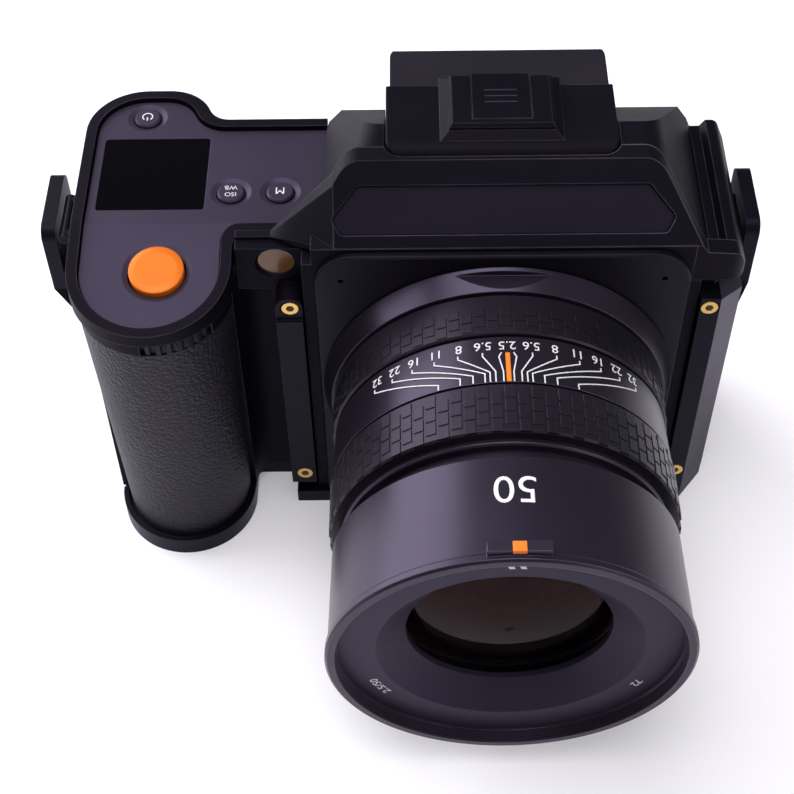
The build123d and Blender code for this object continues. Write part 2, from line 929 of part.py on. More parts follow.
# Fixed frame round the stage, with room for the stage's travel on every side
with BuildPart() as stage_frame:
    with BuildSketch(Plane.XZ.offset(-sensor_plane - glass_thick)):
        with Locations((0, axis_height)):
            frame_width = stage_width + 2 * (stage_travel + free_gap + stage_frame_side)
            frame_height = stage_height + 2 * (stage_travel + free_gap + stage_frame_side)
            Rectangle(frame_width, frame_height)
            Rectangle(
                stage_width + 2 * (stage_travel + free_gap),
                stage_height + 2 * (stage_travel + free_gap),
                mode=Mode.SUBTRACT,
            )
    extrude(amount=-stage_frame_depth)
    with BuildSketch(Plane.XZ.offset(-sensor_plane - glass_thick - stage_thick - running_gap)):
        with Locations((0, axis_height)):
            Rectangle(frame_width, frame_height)
            Rectangle(sensor_width - glass_margin, sensor_height - glass_margin, mode=Mode.SUBTRACT)
    extrude(amount=-(stage_frame_depth - stage_thick - running_gap))
    with BuildSketch(Plane.XZ.offset(chassis_wall_inner)):
        with Locations((0, axis_height)):
            with GridLocations(
                frame_width - 2 * stage_post_inset, frame_height - 2 * stage_post_inset, 2, 2
            ):
                Circle(stage_post_radius)
    extrude(amount=-(board_rear - board_thick + chassis_wall_inner))
stage_frame.part.label = "stage_frame"
export_step(stage_frame.part, "parts/stage_frame.step")


def deck_plan(plane, inset=0.0):
    """Plan of the control deck: thumb lobe behind, shutter nose in front, hump beside it."""
    left = -deck_left + inset
    flank = -deck_flank - inset
    edge = -hump_neck + inset
    front = -deck_front + inset
    rear = deck_rear - inset
    with BuildSketch(plane) as plan:
        with BuildLine():
            FilletPolyline(
                (left, -deck_nose),
                (left, thumb_rear - inset),
                (-thumb_inner - inset, thumb_rear - inset),
                (-thumb_neck - inset, rear),
                (edge, rear),
                (edge, front),
                (flank, front),
                (flank, -deck_nose),
                radius=(
                    thumb_radius - inset,
                    thumb_inner_radius - inset,
                    thumb_neck_radius + inset,
                    0,
                    0,
                    deck_inner_radius,
                ),
            )
            ThreePointArc(
                (flank, -deck_nose),
                (-deck_middle, -deck_nose - deck_radius + inset),
                (left, -deck_nose),
            )
        make_face()
    return plan.sketch


def below_deck(height):
    """Everything under the deck's surface: level behind, sloping down to the shutter nose."""
    far = deck_left
    with BuildPart() as under:
        with BuildSketch(Plane.YZ.offset(-2 * deck_left)):
            with BuildLine():
                Polyline(
                    (far, height),
                    (-deck_bend, height),
                    (-far, height - (far - deck_bend) * deck_tan),
                    (-far, 0),
                    (far, 0),
                    close=True,
                )
            make_face()
        extrude(amount=4 * deck_left)
    return under.part


def hump_outline(distance, shift=0.0):
    """Section of the hump and the dished right shoulder, with its left flank shifted inwards."""
    with BuildSketch(Plane.XZ.offset(distance)) as outline:
        with BuildLine():
            FilletPolyline(
                (-hump_left_foot + shift, chassis_top),
                (-hump_left_foot + shift, hump_foot),
                (-hump_half_top + shift, hump_top),
                (hump_half_top, hump_top),
                (hump_right_foot, hump_foot),
                (shoulder_dip_in, shoulder_dip),
                (shoulder_dip_out, shoulder_dip),
                (shoulder_dip_out + panel_thick, shoulder_rim),
                (shoulder_rim_out, shoulder_rim),
                (body_right, shoulder_outer),
                (body_right, chassis_top),
                radius=(0, 0, hump_top_radius, hump_top_radius, 0, 0, 0, 0, wall, 0, 0),
                close=True,
            )
        make_face()
    return outline.sketch


def slope_height(x):
    """Height of the hump's left slope at a distance from the lens axis."""
    fall = (hump_top - hump_foot) / (hump_left_foot - hump_half_top)
    return hump_top - (x - hump_half_top) * fall


# Tilted seat of the shutter button on the sloping nose of the deck
shutter_seat = deck_height - (shutter_y - deck_bend) * deck_tan
shutter_plane = Plane(
    origin=(-shutter_x, -shutter_y, shutter_seat),
    x_dir=(1, 0, 0),
    z_dir=(0, -sin(radians(deck_slope)), cos(radians(deck_slope))),
)
button_places = [
    (-power_x, power_y),
    (-iso_x, pair_y),
    (-mode_x, pair_y),
]
brow_run = block_front - brow_top_front
brow_rise = hump_top - brow_low
name_plane = Plane(
    origin=(0, -block_front, brow_low), x_dir=(1, 0, 0), z_dir=(0, -brow_rise, brow_run)
)


def name_outline(plane, inset=0.0):
    """Six-sided recess for the blank panel on the brow's slope."""
    with BuildSketch(plane) as outline:
        with BuildLine():
            FilletPolyline(
                (-name_half_low + inset, name_low + inset),
                (name_half_low - inset, name_low + inset),
                (name_half_waist - inset, name_waist),
                (name_half_high - inset, name_high - inset),
                (-name_half_high + inset, name_high - inset),
                (-name_half_waist + inset, name_waist),
                radius=1.5,
                close=True,
            )
        make_face()
    return outline.sketch


# Slot of the viewfinder, open to the rear
with BuildPart() as finder_slot:
    with BuildSketch(Plane.XY.offset(finder_low)):
        with BuildLine():
            FilletPolyline(
                (-finder_half - free_gap, body_rear),
                (-finder_half - free_gap, -finder_front - free_gap),
                (finder_half + free_gap, -finder_front - free_gap),
                (finder_half + free_gap, body_rear),
                radius=finder_corner,
                close=False,
            )
            Line(
                (finder_half + free_gap, body_rear), (-finder_half - free_gap, body_rear)
            )
        make_face()
    extrude(amount=finder_height - finder_low)

# Turn of the brow on the grip side: it flattens into the ledge above the lamp
turn_height = slope_height(brow_turn_start)
turn_front = -block_front + (turn_height - brow_low) * brow_run / brow_rise
with BuildPart() as brow_turn:
    with BuildSketch(Plane.YZ.offset(-brow_turn_start + free_gap)) as turn_inner:
        with BuildLine():
            Polyline(
                (-block_front, hump_foot),
                (-block_front, brow_low),
                (turn_front, turn_height),
                (turn_front + brow_thick, turn_height),
                (-block_front + brow_thick, hump_foot),
                close=True,
            )
        make_face()
    with BuildSketch(Plane.YZ.offset(-brow_wing_start)) as turn_outer:
        with BuildLine():
            Polyline(
                (-brow_wing_front, brow_wing_low),
                (-brow_wing_front, brow_wing_low + brow_bar),
                (-deck_front - brow_bar, rim_height),
                (-deck_front, rim_height),
                (-deck_front, brow_wing_low),
                close=True,
            )
        make_face()
    with BuildSketch(Plane.YZ.offset(-brow_wing_left)) as wing_end:
        with BuildLine():
            Polyline(
                (-brow_wing_front, brow_wing_low),
                (-brow_wing_front, brow_wing_low + brow_bar),
                (-deck_front - brow_bar, rim_height),
                (-deck_front, rim_height),
                (-deck_front, brow_wing_low),
                close=True,
            )
        make_face()
    loft(sections=[turn_inner.sketch, turn_outer.sketch, wing_end.sketch], ruled=True)

# Brow: the sloping front frame of the hump, drawn from its front and side views
with BuildPart() as brow:
    with BuildSketch(Plane.XZ):
        with BuildLine():
            FilletPolyline(
                (-brow_turn_start, brow_low),
                (-brow_turn_start, turn_height),
                (-hump_half_top, hump_top),
                (hump_half_top, hump_top),
                (hump_right_foot, hump_foot),
                (shoulder_rim_out, shoulder_rim),
                (body_right, shoulder_outer),
                (body_right, chassis_top),
                (brow_inner, chassis_top),
                (brow_inner, brow_low),
                radius=(0, 0, hump_top_radius, hump_top_radius, 0, wall, 0, 0, 0, 0),
                close=True,
            )
        make_face()
    extrude(amount=block_front)
    with BuildSketch(Plane.YZ):
        with BuildLine():
            Polyline(
                (-block_front, chassis_top),
                (-block_front, brow_low),
                (-brow_top_front, hump_top),
                (-brow_top_front + brow_thick, hump_top),
                (-block_front + brow_thick, brow_low),
                (-block_front + brow_thick, chassis_top),
                close=True,
            )
        make_face()
    extrude(amount=deck_left, both=True, mode=Mode.INTERSECT)
    brow_corner_edge = brow.edges().filter_by(Axis.Z).sort_by(Axis.X)[-2:].sort_by(Axis.Y)[0]
    fillet(brow_corner_edge, brow_thick - edge_break)
    add(brow_turn.part)
    with BuildSketch(Plane.XY.offset(chassis_top)):
        with Locations((0, -block_front)):
            Rectangle(2 * brow_inner, brow_thick, align=(Align.CENTER, Align.MIN))
    extrude(amount=brow_low - chassis_top, mode=Mode.SUBTRACT)
    extrude(name_outline(name_plane), amount=-name_depth, mode=Mode.SUBTRACT)
    add(finder_slot.part, mode=Mode.SUBTRACT)
brow.part.label = "brow"
export_step(brow.part, "parts/brow.step")

# Blank panel in the brow's recess
with BuildPart() as name_panel:
    extrude(name_outline(name_plane.offset(-name_depth), running_gap), amount=name_panel_thick)
name_panel.part.label = "name_panel"
export_step(name_panel.part, "parts/name_panel.step")

# Hump behind the brow, narrowed on the grip side to leave room for the control deck
with BuildPart() as hump:
    loft(
        sections=[hump_outline(block_front), hump_outline(-body_rear, hump_rear_shift)],
        ruled=True,
    )
    with BuildSketch(Plane.YZ):
        with BuildLine():
            Polyline(
                (-block_front + brow_thick, chassis_top),
                (-block_front + brow_thick, brow_low),
                (-brow_top_front + brow_thick, hump_top),
                (hump_flat, hump_top),
                (body_rear, hump_rear_height),
                (body_rear, chassis_top),
                close=True,
            )
        make_face()
    extrude(amount=deck_left, both=True, mode=Mode.INTERSECT)
    with BuildSketch(Plane.XY.offset(chassis_top)):
        with BuildLine():
            Polyline(
                (-brow_turn_start, -block_front),
                (-brow_turn_start, -block_front + 2 * brow_thick),
                (-hump_left_foot, -deck_front),
                (-hump_neck, -hump_turn),
                (-hump_neck, body_rear),
                (body_right, body_rear),
                (body_right, -block_front),
                close=True,
            )
        make_face()
    extrude(amount=hump_top - chassis_top, mode=Mode.INTERSECT)

# Floor of the recessed control deck
pocket = deck_plan(Plane.XY.offset(chassis_top), deck_rim_width)
with BuildPart() as deck_floor:
    extrude(pocket, amount=rim_height - chassis_top)
    add(below_deck(deck_height - panel_thick), mode=Mode.INTERSECT)

# Top cover: control deck, dial band, hump and right shoulder
with BuildPart() as top_cover:
    extrude(deck_plan(Plane.XY.offset(chassis_top)), amount=rim_height - chassis_top)
    extrude(lobe, amount=rim_height - deck_lobe_low)
    add(below_deck(rim_height), mode=Mode.INTERSECT)
    extrude(pocket, amount=rim_height - chassis_top, mode=Mode.SUBTRACT)
    add(deck_floor.part)
    extrude(band, amount=chassis_top - leather_top)
    add(hump.part)
    add(brow.part, mode=Mode.SUBTRACT)
    add(chassis.part, mode=Mode.SUBTRACT)
    add(finder_slot.part, mode=Mode.SUBTRACT)
    with BuildSketch(Plane.XY.offset(leather_top)):
        with Locations((-dial_x, -dial_y)):
            Circle(dial_radius + dial_slot_gap)
    extrude(amount=dial_low + dial_thick + dial_slot_gap - leather_top, mode=Mode.SUBTRACT)
    with BuildSketch(Plane.XY.offset(chassis_top)):
        with Locations((-rear_dial_x, rear_dial_y)):
            Circle(rear_dial_radius + dial_slot_gap)
    extrude(amount=rear_dial_low + rear_dial_thick + free_gap - chassis_top, mode=Mode.SUBTRACT)
    with BuildSketch(Plane.XY.offset(chassis_top)):
        with Locations((-rear_dial_x, rear_dial_y)):
            Circle(axle_radius + running_gap)
    extrude(amount=-axle_length - free_gap, mode=Mode.SUBTRACT)
    with BuildSketch(shutter_plane.offset(panel_thick)):
        Circle(shutter_radius + 2 * button_gap)
    extrude(amount=-panel_thick - shutter_skirt - shutter_travel, mode=Mode.SUBTRACT)
    with BuildSketch(Plane.XY.offset(deck_height)):
        with Locations(*button_places):
            Circle(button_radius + button_gap)
    extrude(amount=-button_skirt - button_travel - free_gap, mode=Mode.SUBTRACT)
top_cover.part.label = "top_cover"
export_step(top_cover.part, "parts/top_cover.step")

# Planes and axes of the rear side
rear_face = Plane.XZ.offset(-body_rear)
screen_width = screen_left + screen_right
screen_middle = (screen_right - screen_left) / 2
screen_sink = screen_thick - screen_proud
screen_axis_y = body_rear + screen_proud - screen_thick / 2
screen_axis_z = screen_high - screen_thick / 2
stick_y = body_rear - stick_depth
stick_ring_middle = (stick_ring_radius + stick_ring_inner) / 2
rear_button_places = [
    (-rear_button_x, play_z),
    (-rear_button_x, menu_z),
    (-rear_button_x, focus_z),
]

# Recessed panel of the control deck, with the buttons' dished holes and the display window
with BuildPart() as control_panel:
    extrude(
        deck_plan(Plane.XY.offset(chassis_top), deck_rim_width + free_gap),
        amount=rim_height - chassis_top,
    )
    add(below_deck(deck_height), mode=Mode.INTERSECT)
    add(below_deck(deck_height - panel_thick), mode=Mode.SUBTRACT)
    add(hump.part, mode=Mode.SUBTRACT)
    with BuildSketch(Plane.XY.offset(deck_height)):
        with Locations(*button_places):
            Circle(button_radius + button_gap)
    extrude(amount=-panel_thick, mode=Mode.SUBTRACT)
    with BuildSketch(shutter_plane.offset(panel_thick)):
        Circle(shutter_radius + 2 * button_gap)
    extrude(amount=-2 * panel_thick - shutter_travel, mode=Mode.SUBTRACT)
    with BuildSketch(Plane.XY.offset(deck_height)):
        with Locations(((-lcd_left - lcd_right) / 2, (lcd_rear - lcd_front) / 2)):
            RectangleRounded(lcd_left - lcd_right, lcd_rear + lcd_front, lcd_corner)
    extrude(amount=-lcd_thick, mode=Mode.SUBTRACT)
    dish_middle = deck_height - dish_depth / 2
    with Locations(*[(x, y, dish_middle) for x, y in button_places]):
        Cone(
            button_radius + button_gap,
            button_radius + button_gap + dish_width,
            dish_depth,
            mode=Mode.SUBTRACT,
        )
    with Locations(shutter_plane.offset(-dish_depth / 2)):
        Cone(
            shutter_radius + button_gap,
            shutter_radius + button_gap + dish_width,
            dish_depth,
            mode=Mode.SUBTRACT,
        )
control_panel.part.label = "control_panel"
export_step(control_panel.part, "parts/control_panel.step")

# Window of the status display
with BuildPart() as lcd_window:
    with BuildSketch(Plane.XY.offset(deck_height - lcd_thick)):
        with Locations(((-lcd_left - lcd_right) / 2, (lcd_rear - lcd_front) / 2)):
            RectangleRounded(
                lcd_left - lcd_right - 2 * running_gap,
                lcd_rear + lcd_front - 2 * running_gap,
                lcd_corner,
            )
    extrude(amount=lcd_thick)
lcd_window.part.label = "lcd_window"
export_step(lcd_window.part, "parts/lcd_window.step")

# Deck buttons: dished caps on skirts
button_names = ["power_button", "iso_button", "mode_button"]
for button_name, place in zip(button_names, button_places):
    with BuildPart() as deck_button:
        with BuildSketch(Plane.XY.offset(deck_height + button_proud)):
            with Locations(place):
                Circle(button_radius)
        extrude(amount=-button_skirt)
        chamfer(deck_button.faces().sort_by(Axis.Z)[-1].edges(), edge_break)
    deck_button.part.label = button_name
    export_step(deck_button.part, f"parts/{button_name}.step")

# Shutter button: a domed cap with a stem under it
with BuildPart() as shutter_button:
    with BuildSketch(shutter_plane.offset(shutter_proud)):
        Circle(shutter_radius)
    extrude(amount=-shutter_skirt)
    cap_rim = shutter_button.edges().group_by(Axis.Z)[-1]
    chamfer(cap_rim, shutter_dome / 2, shutter_dome * 2)
shutter_button.part.label = "shutter_button"
export_step(shutter_button.part, "parts/shutter_button.step")

# Focus assist lamp's glass, at the foot of its funnel
with BuildPart() as lamp_glass:
    with BuildSketch(Plane.XZ.offset(lamp_face - lamp_depth)):
        with Locations((-lamp_x, lamp_z)):
            Circle(lamp_radius + lamp_seat)
    extrude(amount=-lamp_glass_thick)
lamp_glass.part.label = "lamp_glass"
export_step(lamp_glass.part, "parts/lamp_glass.step")


def toothed_dial(radius, low, thick, centre):
    """Dial with a toothed rim and a stub axle under it."""
    with BuildPart() as dial:
        with BuildSketch(Plane.XY.offset(low)):
            with Locations(centre):
                Circle(radius)
                with PolarLocations(radius, dial_teeth):
                    Circle(dial_tooth, mode=Mode.SUBTRACT)
        extrude(amount=thick)
        with BuildSketch(Plane.XY.offset(low)):
            with Locations(centre):
                Circle(axle_radius)
        extrude(amount=-axle_length)
    return dial.part


# Front dial in the grip's band and rear dial under the deck
front_dial = toothed_dial(dial_radius, dial_low, dial_thick, (-dial_x, -dial_y))
front_dial.label = "front_dial"
export_step(front_dial, "parts/front_dial.step")

rear_dial = toothed_dial(
    rear_dial_radius, rear_dial_low, rear_dial_thick, (-rear_dial_x, rear_dial_y)
)
rear_dial.label = "rear_dial"
export_step(rear_dial, "parts/rear_dial.step")

# Left cage arm: the strap along the grip's flank and the flared plate over the lug
with BuildPart() as left_arm:
    with BuildSketch(Plane.XZ.offset(-arm_rear)):
        with BuildLine():
            Polyline(
                (-grip_wall_x(cup_height) - left_strap_thick, cup_height),
                (-grip_wall_x(left_waist) - left_strap_waist, left_waist),
                (-left_arm_out, arm_low),
                (-left_arm_out, arm_high),
                (-left_arm_out + arm_thick, arm_high),
                (-left_arm_out + arm_thick, arm_low + arm_bend),
                (-grip_wall_x(left_waist + arm_bend), left_waist + arm_bend),
                (-grip_wall_x(cup_height), cup_height),
                close=True,
            )
        make_face()
    extrude(amount=arm_rear + left_strap_front_low)
    with BuildSketch(Plane.YZ.offset(-left_arm_out)):
        with BuildLine():
            FilletPolyline(
                (-left_strap_front_low, cup_height),
                (-left_strap_front_high, left_waist),
                (-arm_front, arm_low),
                (-arm_front, arm_high),
                (arm_rear, arm_high),
                (arm_rear, arm_low),
                (left_strap_rear, left_waist),
                (left_strap_rear, cup_height),
                radius=(0, 0, 0, arm_corner, arm_corner, arm_corner, arm_corner, 0),
                close=True,
            )
        make_face()
    extrude(amount=left_arm_out - cup_middle, mode=Mode.INTERSECT)
left_arm.part.label = "left_arm"
export_step(left_arm.part, "parts/left_arm.step")

# Right cage arm: the strip beside the mount, the side plate and the flared plate with its slot
with BuildPart() as right_arm:
    with BuildSketch(Plane.XZ.offset(-arm_rear)):
        with BuildLine():
            Polyline(
                (right_side_out, base_thick),
                (right_side_out, right_waist),
                (right_arm_out, arm_low),
                (right_arm_out, arm_high),
                (right_arm_out - arm_thick, arm_high),
                (right_arm_out - arm_thick, arm_low + arm_bend),
                (body_right, right_waist + arm_bend),
                (body_right, base_thick),
                close=True,
            )
        make_face()
    extrude(amount=arm_rear + right_side_front)
    with BuildSketch(Plane.YZ.offset(body_right)):
        with BuildLine():
            FilletPolyline(
                (-right_side_front, base_thick),
                (-right_side_front, right_waist),
                (-arm_front, arm_low),
                (-arm_front, arm_high),
                (arm_rear, arm_high),
                (arm_rear, arm_low),
                (right_side_rear, right_waist),
                (right_side_rear, base_thick),
                radius=(0, 0, 0, arm_corner, arm_corner, arm_corner, arm_corner, 0),
                close=True,
            )
        make_face()
    extrude(amount=right_arm_out - body_right, mode=Mode.INTERSECT)
    with BuildSketch(Plane.YZ.offset(body_right)):
        with Locations(((arm_rear - arm_front) / 2, (slot_low + slot_high) / 2)):
            RectangleRounded(slot_length, slot_high - slot_low, arm_bend)
    extrude(amount=right_arm_out - body_right, mode=Mode.SUBTRACT)
    with BuildSketch(Plane.XY.offset(base_thick)):
        with BuildLine():
            Polyline(
                (strip_right_in, -plate_front),
                (strip_right_bend, -plate_front),
                (right_side_out, -chamfer_end - strip_thick),
                (right_side_out, -chamfer_end),
                (body_right, -chamfer_end),
                (chamfer_start, -plate_front + strip_thick),
                (strip_right_in, -plate_front + strip_thick),
                close=True,
            )
        make_face()
    extrude(amount=strip_high - base_thick)
    with BuildSketch(Plane.XZ.offset(chamfer_end)):
        with BuildLine():
            Polyline(
                (strip_right_bend, strip_high),
                (right_side_out, strip_high - strip_right_drop),
                (right_side_out, strip_high),
                close=True,
            )
        make_face()
    extrude(amount=plate_front - chamfer_end, mode=Mode.SUBTRACT)
    with BuildSketch(Plane.XZ.offset(plate_front)):
        with Locations((screw_x, screw_high), (screw_x, screw_low)):
            Circle(screw_head_radius + free_gap)
    extrude(amount=-screw_head_depth, mode=Mode.SUBTRACT)
    with BuildSketch(Plane.XZ.offset(plate_front)):
        with Locations((screw_x, screw_high), (screw_x, screw_low)):
            Circle(screw_shank_radius + running_gap)
    extrude(amount=-strip_thick, mode=Mode.SUBTRACT)
right_arm.part.label = "right_arm"
export_step(right_arm.part, "parts/right_arm.step")

# Left front strip, stepped back and rounded at its head
with BuildPart() as left_strip:
    with BuildSketch(Plane.XZ.offset(lamp_face)):
        with Locations(((-strip_left_in - strip_left_out) / 2, strip_low)):
            Rectangle(
                strip_left_out - strip_left_in,
                strip_high - strip_low,
                align=(Align.CENTER, Align.MIN),
            )
    extrude(amount=plate_front - lamp_face)
    head_edges = left_strip.edges().filter_by(Axis.Y).group_by(Axis.Z)[-1]
    fillet(head_edges, (strip_left_out - strip_left_in) / 2 - edge_break)
    with BuildSketch(Plane.XZ.offset(plate_front)):
        with Locations(((-strip_left_in - strip_left_out) / 2, strip_neck)):
            Rectangle(
                strip_left_out - strip_left_in,
                strip_high - strip_neck,
                align=(Align.CENTER, Align.MIN),
            )
    extrude(amount=-strip_step, mode=Mode.SUBTRACT)
    with BuildSketch(Plane.XZ.offset(plate_front - strip_step)):
        with Locations((-screw_left_x, screw_high)):
            Circle(screw_head_radius + free_gap)
    extrude(amount=-screw_head_depth, mode=Mode.SUBTRACT)
    with BuildSketch(Plane.XZ.offset(plate_front)):
        with Locations((-screw_left_x, screw_low)):
            Circle(screw_head_radius + free_gap)
    extrude(amount=-screw_head_depth, mode=Mode.SUBTRACT)
    with BuildSketch(Plane.XZ.offset(plate_front)):
        with Locations((-screw_left_x, screw_high), (-screw_left_x, screw_low)):
            Circle(screw_shank_radius + running_gap)
    extrude(amount=lamp_face - plate_front, mode=Mode.SUBTRACT)
left_strip.part.label = "left_strip"
export_step(left_strip.part, "parts/left_strip.step")

# Four brass screws of the front strips
with BuildPart() as strip_screws:
    with BuildSketch(Plane.XZ.offset(plate_front)):
        with Locations((-screw_left_x, screw_low), (screw_x, screw_high), (screw_x, screw_low)):
            Circle(screw_head_radius)
    extrude(amount=-screw_head_depth)
    with BuildSketch(Plane.XZ.offset(plate_front - strip_step)):
        with Locations((-screw_left_x, screw_high)):
            Circle(screw_head_radius)
    extrude(amount=-screw_head_depth)
    with BuildSketch(Plane.XZ.offset(plate_front - screw_head_depth)):
        with Locations(
            (-screw_left_x, screw_high),
            (-screw_left_x, screw_low),
            (screw_x, screw_high),
            (screw_x, screw_low),
        ):
            Circle(screw_shank_radius)
    extrude(amount=screw_head_depth - screw_length)
strip_screws.part.label = "strip_screws"
export_step(strip_screws.part, "parts/strip_screws.step")

# Strap lug on the grip side: a bar on two stubs
with BuildPart() as strap_lug:
    with BuildSketch(Plane.XZ.offset(-lug_rear)):
        with Locations((-deck_left - lug_stand, lug_height)):
            Circle(lug_bar_radius)
    extrude(amount=lug_length)
    for lug_y in (lug_rear - lug_bar_radius, lug_rear - lug_length + lug_bar_radius):
        with BuildSketch(Plane.YZ.offset(-deck_left)):
            with Locations((lug_y, lug_height)):
                Circle(lug_bar_radius)
        extrude(amount=-lug_stand)
strap_lug.part.label = "strap_lug"
export_step(strap_lug.part, "parts/strap_lug.step")

# Rear cover, with the screen's recess and the bores of the rear controls
with BuildPart() as rear_cover:
    with BuildSketch(rear_face):
        with Locations(((body_right - grip_flank) / 2, (base_thick + chassis_top) / 2)):
            Rectangle(body_right + grip_flank, chassis_top - base_thick)
    extrude(amount=body_rear - seam_rear)
    outer_corner = rear_cover.edges().filter_by(Axis.Z).group_by(Axis.X)[-1].sort_by(Axis.Y)[-1]
    fillet(outer_corner, wall)
    with BuildSketch(rear_face):
        with Locations((screen_middle, (screen_low + screen_high) / 2)):
            recess = Rectangle(
                screen_width + 2 * free_gap, screen_high - screen_low + 2 * free_gap
            )
        fillet(recess.vertices().group_by(Axis.Y)[0], screen_corner)
    extrude(amount=screen_sink + free_gap, mode=Mode.SUBTRACT)
    with BuildSketch(Plane.XZ.offset(-seam_rear)):
        with Locations((screen_middle, (screen_low + screen_high) / 2)):
            Rectangle(screen_width, screen_high - screen_low)
    extrude(
        amount=screen_sink + free_gap + screen_floor - body_rear + seam_rear, mode=Mode.SUBTRACT
    )
    with BuildSketch(rear_face):
        with Locations(*rear_button_places):
            Circle(rear_button_radius + running_gap)
    extrude(
        amount=rear_button_length - rear_button_proud + rear_button_travel + free_gap,
        mode=Mode.SUBTRACT,
    )
    with BuildSketch(rear_face):
        with Locations((-rear_button_x, stick_z)):
            Circle(stick_well_radius)
    extrude(amount=body_rear - seam_rear, mode=Mode.SUBTRACT)
    with BuildSketch(Plane.YZ.offset(-rear_button_x)):
        with Locations((stick_y, stick_z)):
            Circle(stick_pin_radius + running_gap)
    extrude(
        amount=stick_well_radius + stick_pin_seat + free_gap, both=True, mode=Mode.SUBTRACT
    )
    with BuildSketch(Plane.YZ.offset(screen_middle)):
        with Locations((screen_axis_y, screen_axis_z)):
            Circle(hinge_pin_radius + running_gap)
    extrude(
        amount=screen_width / 2 + hinge_pin_reach + free_gap, both=True, mode=Mode.SUBTRACT
    )
    extrude(lobe, amount=chassis_top - deck_lobe_low, mode=Mode.SUBTRACT)
rear_cover.part.label = "rear_cover"
export_step(rear_cover.part, "parts/rear_cover.step")

# Tilting screen: a frame with a round upper edge and its pins on the hinge's axis
glass_height = screen_axis_z - screen_low - 2 * screen_glass_margin
glass_middle = (screen_axis_z + screen_low) / 2
with BuildPart() as screen_frame:
    with BuildSketch(Plane.YZ.offset(-screen_left)):
        with Locations((screen_axis_y, screen_low)):
            Rectangle(
                screen_thick, screen_axis_z - screen_low, align=(Align.CENTER, Align.MIN)
            )
        with Locations((screen_axis_y, screen_axis_z)):
            Circle(screen_thick / 2)
    extrude(amount=screen_width)
    foot_corners = screen_frame.edges().filter_by(Axis.Y).group_by(Axis.Z)[0]
    fillet(foot_corners, screen_corner)
    with BuildSketch(rear_face.offset(-screen_proud)):
        with Locations((screen_middle, glass_middle)):
            RectangleRounded(
                screen_width - 2 * screen_glass_margin, glass_height, screen_corner / 2
            )
    extrude(amount=screen_glass_thick, mode=Mode.SUBTRACT)
    with BuildSketch(Plane.YZ.offset(screen_middle)):
        with Locations((screen_axis_y, screen_axis_z)):
            Circle(hinge_pin_radius)
    extrude(amount=screen_width / 2 + hinge_pin_reach, both=True)
screen_frame.part.label = "screen_frame"
export_step(screen_frame.part, "parts/screen_frame.step")

with BuildPart() as screen_glass:
    with BuildSketch(rear_face.offset(-screen_proud)):
        with Locations((screen_middle, glass_middle)):
            RectangleRounded(
                screen_width - 2 * screen_glass_margin - 2 * running_gap,
                glass_height - 2 * running_gap,
                screen_corner / 2,
            )
    extrude(amount=screen_glass_thick)
screen_glass.part.label = "screen_glass"
export_step(screen_glass.part, "parts/screen_glass.step")

# Round buttons beside the screen
rear_button_names = ["play_button", "menu_button", "focus_button"]
for button_name, place in zip(rear_button_names, rear_button_places):
    with BuildPart() as rear_button:
        with BuildSketch(rear_face.offset(-rear_button_proud)):
            with Locations(place):
                Circle(rear_button_radius)
        extrude(amount=rear_button_length)
        fillet(rear_button.faces().sort_by(Axis.Y)[-1].edges(), edge_break)
    rear_button.part.label = button_name
    export_step(rear_button.part, f"parts/{button_name}.step")

# Thumb stick on a gimbal ring
with BuildPart() as stick_ring:
    with BuildSketch(Plane.XZ.offset(-stick_y - stick_ring_thick / 2)):
        with Locations((-rear_button_x, stick_z)):
            Circle(stick_ring_radius)
            Circle(stick_ring_inner, mode=Mode.SUBTRACT)
    extrude(amount=stick_ring_thick)
    with BuildSketch(Plane.XY.offset(stick_z)):
        with Locations((-rear_button_x, stick_y)):
            Circle(stick_pin_radius + running_gap)
    extrude(amount=stick_ring_radius, both=True, mode=Mode.SUBTRACT)
    for pin_way in (-1, 1):
        with BuildSketch(Plane.YZ.offset(-rear_button_x + pin_way * stick_ring_middle)):
            with Locations((stick_y, stick_z)):
                Circle(stick_pin_radius)
        extrude(amount=pin_way * (stick_well_radius + stick_pin_seat - stick_ring_middle))
stick_ring.part.label = "stick_ring"
export_step(stick_ring.part, "parts/stick_ring.step")

with BuildPart() as stick:
    with BuildSketch(Plane.XZ.offset(-stick_y - stick_hub_length / 2)):
        with Locations((-rear_button_x, stick_z)):
            Circle(stick_hub_radius)
    extrude(amount=stick_hub_length)
    with BuildSketch(Plane.XZ.offset(-stick_y)):
        with Locations((-rear_button_x, stick_z)):
            Circle(stick_neck_radius)
    extrude(amount=-stick_depth)
    with BuildSketch(rear_face.offset(-stick_proud)):
        with Locations((-rear_button_x, stick_z)):
            Circle(stick_cap_radius)
    extrude(amount=stick_cap_thick)
    fillet(stick.faces().sort_by(Axis.Y)[-1].edges(), edge_break)
    with BuildSketch(Plane.XY.offset(stick_z)):
        with Locations((-rear_button_x, stick_y)):
            Circle(stick_pin_radius)
    extrude(amount=stick_ring_middle, both=True)
stick.part.label = "stick"
export_step(stick.part, "parts/stick.step")

